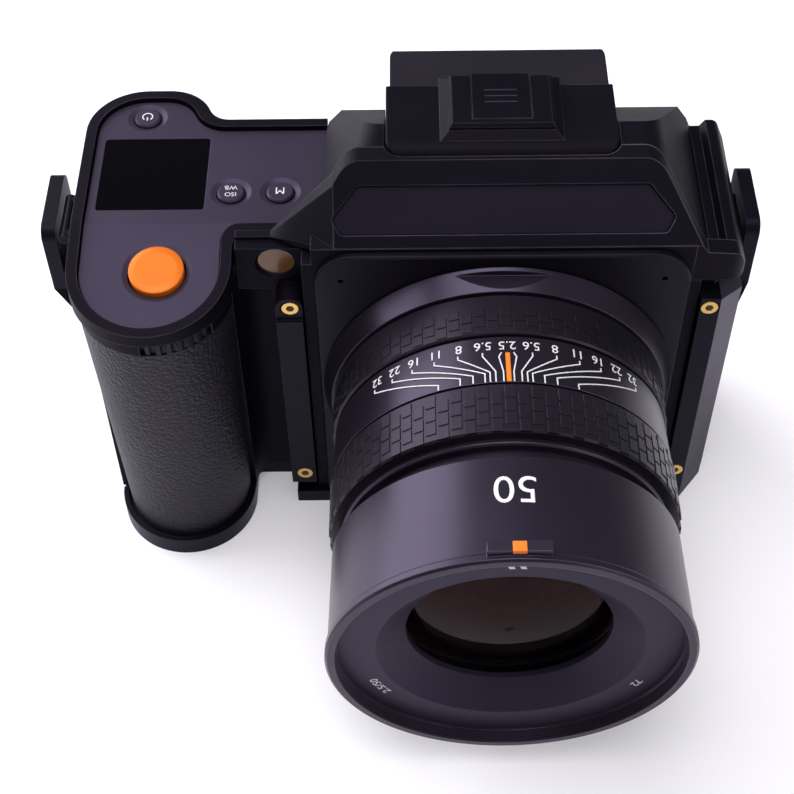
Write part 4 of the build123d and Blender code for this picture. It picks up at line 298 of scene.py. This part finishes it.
FINISHES = {
    cage_black: "cage_base left_arm right_arm left_strip strap_lug",
    shell_black: "chassis top_cover finder_housing accessory_shoe shoe_cover rear_cover",
    brow_black: "brow",
    deck_violet_painted_sheen: "control_panel power_button iso_button mode_button",
    recess_violet: "name_panel",
    leather_black: "grip_leather",
    matt_black: "screen_frame port_panel port_door play_button menu_button focus_button stick_ring "
    "battery_catch lens_release front_dial rear_dial",
    rubber_black: "eyecup thumb_rest stick",
    plate_black: "mount_plate",
    inner_black: "grip_core iris_leaves",
    lens_violet: "lens_collar scale_band front_barrel core_tube clutch_sleeve",
    ring_black: "control_ring focus_ring",
    bezel_violet: "front_bezel",
    bright_metal: "mount_ring lens_bayonet",
    bare_metal: "sensor_stage stage_frame tripod_bush",
    turned_brass: "strip_screws",
    screw_black: "base_screws",
    orange_metal: "shutter_button",
    lamp_amber: "lamp_glass",
    board_green: "main_board",
    battery_grey: "battery",
    display_glass: "lcd_window screen_glass",
    front_optic: "front_glass",
    inner_optic: "inner_glasses",
    clear_optic: "eyepiece",
    sensor_glaze: "sensor_glass",
}
for material, names in FINISHES.items():
    for name in names.split():
        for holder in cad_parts[name].material_slots:
            holder.material = material


# Prints, built flat and then laid on the pieces
DIGIT_SHARE = 0.7  # height of a digit in the size of its font
MARK_LEAN = 0.35
LONGEST_STRAIGHT = 1.5  # of a print's edge before it is cut to follow a round surface
CUTS = 7


def print_on(name, mesh, material, body):
    """Puts a print, laid in millimetres, into the scene as a thin film and lets it ride on a body."""
    mesh.transform(Matrix.Scale(MM, 4))
    mesh.materials.clear()
    mesh.materials.append(material)
    made = into_scene(name, mesh)
    film = made.modifiers.new("Film", "SOLIDIFY")
    film.thickness = FILM_THICKNESS * MM
    film.offset = -1.0
    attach(made, body)


def glyph_mesh(text, height):
    """Flat mesh of a label, centred, with digits of the given height."""
    curve = bpy.data.curves.new("label", "FONT")
    curve.body = text
    curve.size = height / DIGIT_SHARE
    curve.align_x = "CENTER"
    curve.resolution_u = 5
    holder = into_scene("label", curve)
    bpy.context.view_layer.update()
    graph = bpy.context.evaluated_depsgraph_get()
    mesh = bpy.data.meshes.new_from_object(holder.evaluated_get(graph))
    bpy.data.objects.remove(holder)
    return mesh


def mesh_of(form, name):
    """Turns a finished form into a mesh."""
    mesh = bpy.data.meshes.new(name)
    form.to_mesh(mesh)
    form.free()
    return mesh


def ribbon_mesh(points, width):
    """Flat mesh of a bent line of even width with square ends."""
    form = bmesh.new()
    rims = []
    for index, point in enumerate(points):
        here = Vector(point)
        is_last = index + 1 == len(points)
        before = (here - Vector(points[index - 1])).normalized() if index else None
        after = None if is_last else (Vector(points[index + 1]) - here).normalized()
        along = (before or after) + (after or before)
        along.normalize()
        reach = width / 2 / max(0.4, along.dot(after or before))  # wider on the mitre of a corner
        side = Vector((-along.y, along.x)) * reach
        rims.append((form.verts.new((*(here + side), 0)), form.verts.new((*(here - side), 0))))
    for (a, b), (c, d) in zip(rims, rims[1:]):
        form.faces.new((a, b, d, c))
    long_edges = [e for e in form.edges if e.calc_length() > LONGEST_STRAIGHT]
    bmesh.ops.subdivide_edges(form, edges=long_edges, cuts=CUTS)
    bmesh.ops.triangulate(form, faces=form.faces)
    return mesh_of(form, "line")


def plate_mesh(width, height):
    """Flat rectangle."""
    return ribbon_mesh([(0, -height / 2), (0, height / 2)], width)


def leaning_mark(size):
    """Flat mark, as wide as high, with its sides leaning."""
    mesh = plate_mesh(size, size)
    for vertex in mesh.vertices:
        vertex.co.x -= MARK_LEAN * vertex.co.y
    return mesh


def merged(meshes):
    """Joins flat or placed meshes into one."""
    form = bmesh.new()
    for mesh in meshes:
        form.from_mesh(mesh)
    return mesh_of(form, "merged")


def wrap(mesh, radius, angle, place, slope):
    """Lays a flat mesh on the lens: up points to the front, right points to the grip."""
    for vertex in mesh.vertices:
        u, v = vertex.co.xy
        forward = place + v
        reach = radius + v * slope + PRINT_LIFT
        turn = radians(angle) - u / radius
        vertex.co = (reach * sin(turn), -PLATE_FRONT - forward, AXIS_HEIGHT + reach * cos(turn))
    mesh.update()
    return mesh


def on_bezel(mesh, radius, angle):
    """Lays a flat mesh on the flat ring round the front glass, with up pointing outwards."""
    for vertex in mesh.vertices:
        u, v = vertex.co.xy
        turn = radians(angle) + u / radius
        reach = radius + v
        depth = -PLATE_FRONT - RING_FACE - PRINT_LIFT
        vertex.co = (reach * sin(turn), depth, AXIS_HEIGHT + reach * cos(turn))
    mesh.update()
    return mesh


def on_deck(mesh, x, y, z):
    """Lays a flat mesh on the deck, with up pointing to the front."""
    for vertex in mesh.vertices:
        u, v = vertex.co.xy
        vertex.co = (x - u, y - v, z + PRINT_LIFT)
    mesh.update()
    return mesh


def on_rear(mesh, x, y, z):
    """Lays a flat mesh on the rear, as a person behind the camera reads it."""
    for vertex in mesh.vertices:
        u, v = vertex.co.xy
        vertex.co = (x - u, y + PRINT_LIFT, z + v)
    mesh.update()
    return mesh


# Depth of field scale: numbers, leader lines and index on the fixed, slightly conical band.
# Places along the lens are measured forward from the lens plate.
BAND_RADIUS = 37.0
BAND_SLOPE = 0.5 / 12.4
RADIUS_AT_PLATE = BAND_RADIUS - 17.4 * BAND_SLOPE  # the band's cone, drawn back to the plate
NUMBER_HEIGHT = 2.2
NUMBER_FOOT = 18.8
NUMBER_STEP = 7.8  # degrees
STOPS = ["5.6", "8", "11", "16", "22", "32"]
TICK_ANGLES = [4.0, 5.7, 7.3, 11.0, 15.0, 22.0]
TICK_CORNERS = [26.95, 27.12, 27.42, 27.7, 27.9, 28.4]
LINE_START, LINE_BEND, LINE_END = 21.75, 22.65, 29.75
LINE_WIDTH = 0.27
NEAR_LINE = [(1.9, 21.85), (2.75, 23.0), (1.6, 27.0), (1.6, LINE_END)]  # degrees, forward
INDEX_START, INDEX_WIDTH = 21.9, 0.95
ARC_STEP = radians(1.0) * BAND_RADIUS  # arc of one degree


def scale_number(text, angle):
    """Number of the scale at an angle."""
    return wrap(glyph_mesh(text, NUMBER_HEIGHT), BAND_RADIUS, angle, NUMBER_FOOT, BAND_SLOPE)


def scale_line(points, width=LINE_WIDTH):
    """Line of the scale through points given as arc and forward place."""
    return wrap(ribbon_mesh(points, width), RADIUS_AT_PLATE, 0.0, 0.0, BAND_SLOPE)


band_prints = [scale_number("2.5", 0.0)]
for side in (-1, 1):
    for index, stop in enumerate(STOPS):
        angle = side * NUMBER_STEP * (index + 1)
        foot = -angle * ARC_STEP
        tick = -side * TICK_ANGLES[index] * ARC_STEP
        corner = (tick, TICK_CORNERS[index])
        path = [(foot, LINE_START), (foot, LINE_BEND), corner, (tick, LINE_END)]
        band_prints += [scale_number(stop, angle), scale_line(path)]
    band_prints.append(scale_line([(side * degrees * ARC_STEP, place) for degrees, place in NEAR_LINE]))
print_on("scale_numbers", merged(band_prints), white_print, "lens")
index_line = scale_line([(0.0, INDEX_START), (0.0, LINE_END)], INDEX_WIDTH)
print_on("scale_index", index_line, orange_print, "lens")

# Focal number on the barrel, which is slightly conical too
BARREL_RADIUS = 37.13
BARREL_SLOPE = 0.5 / 22.3
FOCAL_HEIGHT = 6.3
FOCAL_FOOT = 53.1
focal = wrap(glyph_mesh("50", FOCAL_HEIGHT), BARREL_RADIUS, 0.0, FOCAL_FOOT, BARREL_SLOPE)
print_on("focal_number", focal, white_print, "lens")

# Orange mark over the top and the front of the index tab
TAB_TOP = 86.4
TAB_MIDDLE, TAB_FRONT = 70.58, 71.7
MARK_WIDTH, MARK_LENGTH = 2.7, 2.24
FRONT_MARK_HEIGHT, FRONT_MARK_DROP = 0.9, 0.42
tab_mark = plate_mesh(MARK_WIDTH, MARK_LENGTH)
for vertex in tab_mark.vertices:
    across, up = vertex.co.xy
    vertex.co = (-across, -PLATE_FRONT - TAB_MIDDLE - up, TAB_TOP + PRINT_LIFT)
tab_front = plate_mesh(MARK_WIDTH, FRONT_MARK_HEIGHT)
for vertex in tab_front.vertices:
    across, up = vertex.co.xy
    vertex.co = (across, -PLATE_FRONT - TAB_FRONT - PRINT_LIFT, TAB_TOP - FRONT_MARK_DROP + up)
print_on("tab_mark", merged([tab_mark, tab_front]), orange_print, "lens")

# Marks and numbers on the flat ring round the front glass
MARK_RADIUS, MARK_SIZE, MARK_ANGLE = 30.9, 1.15, 2.1
TEXT_RADIUS, TEXT_HEIGHT = 30.2, 1.8
ring_marks = [
    on_bezel(leaning_mark(MARK_SIZE), MARK_RADIUS, -MARK_ANGLE),
    on_bezel(leaning_mark(MARK_SIZE), MARK_RADIUS, MARK_ANGLE),
    on_bezel(glyph_mesh("2.5/50", TEXT_HEIGHT), TEXT_RADIUS, -119.5),
    on_bezel(glyph_mesh("72", TEXT_HEIGHT), TEXT_RADIUS, 118.5),
]
print_on("ring_marks", merged(ring_marks), white_print, "lens")

# Labels on the deck's keys: power, balance, mode
DECK_KEYS_TOP = 85.6
POWER_KEY = (-80.5, 25.6)
ISO_KEY = (-59.6, 0.6)
MODE_KEY = (-48.6, 0.6)
SMALL_LETTERS, LARGE_LETTER = 1.25, 2.1
STROKE = 0.28
GAP = 38.0  # degrees from the power symbol's stroke to the ends of its ring
RING_PARTS = 20


def power_symbol(size):
    """Open ring with a stroke through its gap."""
    turns = [radians(GAP + (360.0 - 2 * GAP) * part / RING_PARTS) for part in range(RING_PARTS + 1)]
    ring = ribbon_mesh([(size * sin(turn), size * cos(turn)) for turn in turns], STROKE)
    return merged([ring, ribbon_mesh([(0, size * 0.15), (0, size * 1.15)], STROKE)])


def on_key(mesh, key, down=0.0):
    """Lays a label on a key of the deck, with its foot a little below the key's middle."""
    return on_deck(mesh, key[0], key[1] + down, DECK_KEYS_TOP)


print_on("power_label", on_key(power_symbol(1.15), POWER_KEY), white_print, "power")
iso_line = on_key(glyph_mesh("ISO", SMALL_LETTERS), ISO_KEY, -0.35)
balance_line = on_key(glyph_mesh("WB", SMALL_LETTERS), ISO_KEY, 1.75)
print_on("balance_label", merged([iso_line, balance_line]), white_print, "iso")
print_on("mode_label", on_key(glyph_mesh("M", LARGE_LETTER), MODE_KEY, 1.05), white_print, "mode")

# Symbols on the rear keys: a triangle to play pictures, three bars for the menu, a frame for focus
REAR_KEYS_FACE = 20.8
REAR_KEYS_ACROSS = -51.0
PLAY_HEIGHT, MENU_HEIGHT, FOCUS_HEIGHT = 22.0, 34.0, 64.0
TRIANGLE_REACH = 0.9
BAR_REACH, BAR_WIDTH, BAR_GAP = 1.1, 0.3, 0.75
CORNER_WIDTH = 0.26


def corner_mesh(across, up):
    """Corner of the focus frame, on the side that the two signs give."""
    bend = [(across * 0.45, up), (across * 1.2, up), (across * 1.2, up * 0.4)]
    return ribbon_mesh(bend, CORNER_WIDTH)


def on_rear_key(mesh, height):
    """Lays a symbol on a rear key."""
    return on_rear(mesh, REAR_KEYS_ACROSS, REAR_KEYS_FACE, height)


triangle = ribbon_mesh([(-TRIANGLE_REACH, 0.0), (TRIANGLE_REACH, 0.0)], 2.0)
for vertex in triangle.vertices:
    vertex.co.y *= (TRIANGLE_REACH - vertex.co.x) / (2 * TRIANGLE_REACH)
menu_bars = merged(
    [ribbon_mesh([(-BAR_REACH, up), (BAR_REACH, up)], BAR_WIDTH) for up in (-BAR_GAP, 0.0, BAR_GAP)]
)
frame_corners = merged([corner_mesh(*signs) for signs in ((-1, -1), (-1, 1), (1, 1), (1, -1))])
print_on("play_symbol", on_rear_key(triangle, PLAY_HEIGHT), white_print, "play")
print_on("menu_symbol", on_rear_key(menu_bars, MENU_HEIGHT), white_print, "menu")
print_on("focus_symbol", on_rear_key(frame_corners, FOCUS_HEIGHT), white_print, "focus_key")


# What repeats, as geometry nodes run once and kept as plain meshes


def repeat_tree(name, inputs):
    """Starts a geometry node tree with named inputs."""
    tree = bpy.data.node_groups.new(name, "GeometryNodeTree")
    tree.interface.new_socket("Geometry", in_out="INPUT", socket_type="NodeSocketGeometry")
    for label, kind in inputs.items():
        tree.interface.new_socket(label, in_out="INPUT", socket_type="NodeSocket" + kind)
    tree.interface.new_socket("Geometry", in_out="OUTPUT", socket_type="NodeSocketGeometry")
    source = tree.nodes.new("NodeGroupInput")
    target = tree.nodes.new("NodeGroupOutput")
    return tree, source.outputs, target.inputs["Geometry"]


def close_tree(tree, shape, surface, target):
    """Ends a tree with real geometry and its material."""
    real = outcome(tree, "GeometryNodeRealizeInstances", {"Geometry": shape})
    dressed = outcome(tree, "GeometryNodeSetMaterial", {"Geometry": real, "Material": surface})
    tree.links.new(dressed, target)


def point_place(tree):
    """Place of each point of a geometry, as its x, y and z."""
    place = outcome(tree, "GeometryNodeInputPosition")
    return node(tree, "ShaderNodeSeparateXYZ", {"Vector": place}).outputs


def on_axis(tree, shape):
    """Moves a shape built round the origin to the lens axis, at the lens plate."""
    moved = {"Geometry": shape, "Translation": (0.0, -PLATE_FRONT * MM, AXIS_HEIGHT * MM)}
    return outcome(tree, "GeometryNodeTransform", moved)


def baked(name, tree, values, body):
    """Runs a tree on an empty mesh, keeps the result as a plain mesh and lets it ride on a body."""
    made = into_scene(name, bpy.data.meshes.new(name))
    modifier = made.modifiers.new("Repeat", "NODES")
    modifier.node_group = tree
    for item in tree.interface.items_tree:
        if item.in_out == "INPUT" and item.name in values:
            modifier[item.identifier] = values[item.name]
    bpy.context.view_layer.update()
    graph = bpy.context.evaluated_depsgraph_get()
    mesh = bpy.data.meshes.new_from_object(made.evaluated_get(graph), depsgraph=graph)
    made.modifiers.remove(modifier)
    made.data = mesh
    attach(made, body)


PAD_TOP_WIDTH, PAD_TOP_LENGTH = 0.90, 0.94  # share of a pad's foot that its top keeps


def knurl_tree():
    """Columns of low pads round the lens axis, every other column shifted by half a pad."""
    tree, given, target = repeat_tree(
        "knurl",
        {
            "Radius": "Float",
            "Start": "Float",
            "Row Pitch": "Float",
            "Count": "Int",
            "Rows": "Int",
            "Pad Width": "Float",
            "Pad Length": "Float",
            "Pad Height": "Float",
            "Surface": "Material",
        },
    )
    index = outcome(tree, "GeometryNodeInputIndex")
    column = reckon(tree, "MODULO", index, given["Count"])
    row = reckon(tree, "FLOOR", reckon(tree, "DIVIDE", index, given["Count"]))
    shift = reckon(tree, "MULTIPLY", reckon(tree, "MODULO", column, 2.0), 0.5)
    turn = reckon(tree, "MULTIPLY", reckon(tree, "DIVIDE", column, given["Count"]), 2 * pi)
    rows_ahead = reckon(tree, "ADD", row, shift)
    forward = reckon(tree, "MULTIPLY_ADD", rows_ahead, given["Row Pitch"], given["Start"])
    place = vector(
        tree,
        reckon(tree, "MULTIPLY", given["Radius"], reckon(tree, "SINE", turn)),
        reckon(tree, "MULTIPLY", forward, -1.0),
        reckon(tree, "MULTIPLY", given["Radius"], reckon(tree, "COSINE", turn)),
    )
    total = reckon(tree, "MULTIPLY", given["Count"], given["Rows"])
    points = outcome(tree, "GeometryNodePoints", {"Count": total, "Position": place})
    size = vector(tree, given["Pad Width"], given["Pad Length"], given["Pad Height"])
    block = outcome(tree, "GeometryNodeMeshCube", {"Size": size})
    x, y, z = point_place(tree)
    top = reckon(tree, "GREATER_THAN", z, 0.0)
    narrow_x = reckon(tree, "MULTIPLY", x, PAD_TOP_WIDTH)
    narrow_y = reckon(tree, "MULTIPLY", y, PAD_TOP_LENGTH)
    narrow = vector(tree, narrow_x, narrow_y, z)
    shaped = {"Geometry": block, "Selection": top, "Position": narrow}
    pad = outcome(tree, "GeometryNodeSetPosition", shaped)
    laid = {"Points": points, "Instance": pad, "Rotation": vector(tree, 0.0, turn, 0.0)}
    spread = outcome(tree, "GeometryNodeInstanceOnPoints", laid)
    close_tree(tree, on_axis(tree, spread), given["Surface"], target)
    return tree


knurl = knurl_tree()
PADS = {"Pad Width": 2.42 * MM, "Pad Height": 0.5 * MM, "Count": 86, "Surface": ring_black}
CONTROL_PADS = {
    "Radius": 37.33 * MM,
    "Start": 10.6 * MM,
    "Row Pitch": 2.85 * MM,
    "Rows": 2,
    "Pad Length": 2.55 * MM,
}
FOCUS_PADS = {
    "Radius": 37.53 * MM,
    "Start": 32.4 * MM,
    "Row Pitch": 3.4 * MM,
    "Rows": 3,
    "Pad Length": 3.08 * MM,
}
baked("control_knurl", knurl, {**PADS, **CONTROL_PADS}, "control")
baked("focus_knurl", knurl, {**PADS, **FOCUS_PADS}, "focus")

RING_PARTS_ROUND = 160
WIRE_PARTS_ROUND = 5


def thread_tree():
    """Fine rings standing in for the thread inside the front rim."""
    tree, given, target = repeat_tree(
        "thread",
        {
            "Radius": "Float",
            "Start": "Float",
            "Pitch": "Float",
            "Turns": "Int",
            "Depth": "Float",
            "Surface": "Material",
        },
    )
    index = outcome(tree, "GeometryNodeInputIndex")
    forward = reckon(tree, "MULTIPLY_ADD", index, given["Pitch"], given["Start"])
    place = vector(tree, 0.0, reckon(tree, "MULTIPLY", forward, -1.0), 0.0)
    points = outcome(tree, "GeometryNodePoints", {"Count": given["Turns"], "Position": place})
    round_path = {"Resolution": RING_PARTS_ROUND, "Radius": given["Radius"]}
    round_wire = {"Resolution": WIRE_PARTS_ROUND, "Radius": given["Depth"]}
    ring = {
        "Curve": outcome(tree, "GeometryNodeCurvePrimitiveCircle", round_path),
        "Profile Curve": outcome(tree, "GeometryNodeCurvePrimitiveCircle", round_wire),
    }
    solid = outcome(tree, "GeometryNodeCurveToMesh", ring)
    turned = {"Geometry": solid, "Rotation": (pi / 2, 0.0, 0.0)}
    upright = outcome(tree, "GeometryNodeTransform", turned)
    laid = {"Points": points, "Instance": upright}
    spread = outcome(tree, "GeometryNodeInstanceOnPoints", laid)
    close_tree(tree, on_axis(tree, spread), given["Surface"], target)
    return tree


baked(
    "filter_thread_rings",
    thread_tree(),
    {
        "Radius": 36.0 * MM,
        "Start": 70.25 * MM,
        "Pitch": 0.55 * MM,
        "Turns": 5,
        "Depth": 0.17 * MM,
        "Surface": bezel_violet,
    },
    "lens",
)


def socket_tree():
    """Dark hexagons on a grid of four screw heads, one of them set back by a step: painted shade
    standing in for hexagonal sockets.
    """
    tree, given, target = repeat_tree(
        "sockets",
        {
            "Centre": "Vector",
            "Tilt": "Vector",
            "Across": "Float",
            "Along": "Float",
            "Step": "Float",
            "Socket Radius": "Float",
            "Socket Height": "Float",
            "Surface": "Material",
        },
    )
    corners = {"Size X": given["Across"], "Size Y": given["Along"], "Vertices X": 2, "Vertices Y": 2}
    grid = outcome(tree, "GeometryNodeMeshGrid", corners)
    x, y, _ = point_place(tree)
    left = reckon(tree, "LESS_THAN", x, 0.0)
    high = reckon(tree, "GREATER_THAN", y, 0.0)
    stepped = {
        "Geometry": grid,
        "Selection": reckon(tree, "MULTIPLY", left, high),
        "Offset": vector(tree, 0.0, 0.0, reckon(tree, "MULTIPLY", given["Step"], -1.0)),
    }
    hexagon = {"Vertices": 6, "Radius": given["Socket Radius"], "Depth": given["Socket Height"]}
    laid = {
        "Points": outcome(tree, "GeometryNodeSetPosition", stepped),
        "Instance": outcome(tree, "GeometryNodeMeshCylinder", hexagon),
    }
    spread = outcome(tree, "GeometryNodeInstanceOnPoints", laid)
    moved = {"Geometry": spread, "Rotation": given["Tilt"], "Translation": given["Centre"]}
    placed = outcome(tree, "GeometryNodeTransform", moved)
    close_tree(tree, placed, given["Surface"], target)
    return tree


sockets = socket_tree()
# Dark hexagons on the strip screws: painted shade standing in for their sockets
baked(
    "strip_screw_sockets",
    sockets,
    {
        "Centre": (-0.3 * MM, -PLATE_FRONT * MM, 42.525 * MM),
        "Tilt": (pi / 2, 0.0, 0.0),
        "Across": 92.0 * MM,
        "Along": 60.35 * MM,
        "Step": 0.9 * MM,
        "Socket Radius": 0.95 * MM,
        "Socket Height": 0.12 * MM,
        "Surface": socket_painted_shade,
    },
    "camera",
)
# Dark hexagons on the base screws: painted shade standing in for their sockets
baked(
    "base_screw_sockets",
    sockets,
    {
        "Centre": (0.0, 0.0, 0.3 * MM),
        "Tilt": (pi, 0.0, 0.0),
        "Across": 80.0 * MM,
        "Along": 16.8 * MM,
        "Step": 0.0,
        "Socket Radius": 1.0 * MM,
        "Socket Height": 0.12 * MM,
        "Surface": inner_black,
    },
    "camera",
)


def bar_tree():
    """Row of thin raised bars."""
    tree, given, target = repeat_tree(
        "bars",
        {"Count": "Int", "First": "Vector", "Pitch": "Vector", "Size": "Vector", "Surface": "Material"},
    )
    row = {"Count": given["Count"], "Start Location": given["First"], "Offset": given["Pitch"]}
    laid = {
        "Points": outcome(tree, "GeometryNodeMeshLine", row),
        "Instance": outcome(tree, "GeometryNodeMeshCube", {"Size": given["Size"]}),
    }
    spread = outcome(tree, "GeometryNodeInstanceOnPoints", laid)
    close_tree(tree, spread, given["Surface"], target)
    return tree


baked(
    "shoe_cover_lines",
    bar_tree(),
    {
        "Count": 3,
        "First": (0.0, 4.6 * MM, 107.38 * MM),
        "Pitch": (0.0, 1.9 * MM, 0.0),
        "Size": (7.0 * MM, 0.40 * MM, 0.08 * MM),
        "Surface": deck_violet_painted_sheen,
    },
    "cover",
)


# Studio. Its lengths are in metres.
FLOOR_REACH = 4.0
FLOOR_GLOW = 0.22
LAMP_TARGET = (0.0, -0.04, 0.05)
WORLD_LIGHT = 0.24


def studio_floor():
    """Pale floor that the camera sees as white, with the object's soft shadow on it."""
    form = bmesh.new()
    signs = ((-1, -1), (1, -1), (1, 1), (-1, 1))
    corners = [form.verts.new((x * FLOOR_REACH, y * FLOOR_REACH, 0.0)) for x, y in signs]
    form.faces.new(corners)
    mesh = mesh_of(form, "floor")
    material, tree, shader, coordinates = new_material("floor_white")
    slow = surface_noise(tree, coordinates, 3.0)
    paper = mixed(tree, slow, (0.80, 0.79, 0.82), (0.82, 0.81, 0.84))
    feed(tree, shader, {"Base Color": paper, "Roughness": 0.22, "Specular IOR Level": 0.25})
    paths = node(tree, "ShaderNodeLightPath").outputs
    seen = reckon(tree, "MAXIMUM", paths["Is Camera Ray"], paths["Is Glossy Ray"])
    seen = reckon(tree, "MAXIMUM", seen, paths["Is Transmission Ray"])
    glow = {"Color": (1.0, 0.98, 1.0, 1.0), "Strength": reckon(tree, "MULTIPLY", seen, FLOOR_GLOW)}
    both = {0: shader.outputs[0], 1: outcome(tree, "ShaderNodeEmission", glow)}
    lit = outcome(tree, "ShaderNodeAddShader", both)
    feed(tree, tree.nodes["Material Output"], {"Surface": lit})
    mesh.materials.append(material)
    floor = into_scene("studio_floor", mesh)


def softbox(name, place, size, power, colour=WHITE):
    """Rectangular lamp turned towards the camera's lens."""
    lamp = bpy.data.lights.new(name, "AREA")
    lamp.shape = "RECTANGLE"
    lamp.size, lamp.size_y = size
    lamp.energy = power
    lamp.color = colour
    holder = into_scene(name, lamp)
    holder.location = place
    aim = Vector(LAMP_TARGET) - Vector(place)
    holder.rotation_euler = aim.to_track_quat("-Z", "Y").to_euler()


studio_floor()
softbox("left_softbox", (-0.72, 0.40, 0.42), (1.0, 0.8), 12.0, (0.97, 0.95, 1.0))
softbox("top_softbox", (-0.10, -0.10, 0.92), (0.8, 0.6), 6.5, (0.99, 0.98, 1.0))
softbox("right_softbox", (0.62, -0.40, 0.48), (0.5, 0.5), 2.0)


def studio_world():
    """Soft light from all round; the camera, and rays through glass, see white behind it."""
    world = bpy.data.worlds.new("studio")
    world.use_nodes = True
    bpy.context.scene.world = world
    tree = world.node_tree
    light = tree.nodes["Background"]
    feed(tree, light, {"Color": (0.93, 0.92, 1.0, 1.0), "Strength": WORLD_LIGHT})
    white = {"Color": (*WHITE, 1.0), "Strength": 1.0}
    paths = node(tree, "ShaderNodeLightPath").outputs
    seen = reckon(tree, "MAXIMUM", paths["Is Camera Ray"], paths["Is Transmission Ray"])
    either = {0: seen, 1: light.outputs[0], 2: outcome(tree, "ShaderNodeBackground", white)}
    shown = outcome(tree, "ShaderNodeMixShader", either)
    feed(tree, tree.nodes["World Output"], {"Surface": shown})


studio_world()


# View of the photograph, fitted to its lens rings, plate, deck and base
VIEW_PLACE = (-0.020319, -0.256722, 0.334328)
VIEW_ELEVATION, VIEW_AZIMUTH, VIEW_ROLL = 51.436, 0.686, -1.05
FOCAL_PIXELS, PICTURE_PIXELS = 1593.681, 794
SENSOR_WIDTH = 36.0


def photo_camera():
    """Camera at the photograph's angle, from a front view above the lens."""
    elevation, azimuth, roll = (radians(a) for a in (VIEW_ELEVATION, VIEW_AZIMUTH, VIEW_ROLL))
    back = Vector((sin(azimuth) * cos(elevation), -cos(azimuth) * cos(elevation), sin(elevation)))
    level = (-back).cross(Vector((0, 0, 1))).normalized()
    above = level.cross(-back)
    right = cos(roll) * level + sin(roll) * above
    up = -sin(roll) * level + cos(roll) * above
    lens = bpy.data.cameras.new("photo_camera")
    lens.sensor_width = SENSOR_WIDTH
    lens.lens = FOCAL_PIXELS / PICTURE_PIXELS * SENSOR_WIDTH
    lens.clip_start = 0.01
    holder = into_scene("photo_camera", lens)
    turn = Matrix((right, up, back)).transposed().to_4x4()
    holder.matrix_world = Matrix.Translation(VIEW_PLACE) @ turn
    bpy.context.scene.camera = holder


photo_camera()
bpy.context.scene.view_settings.view_transform = "Standard"
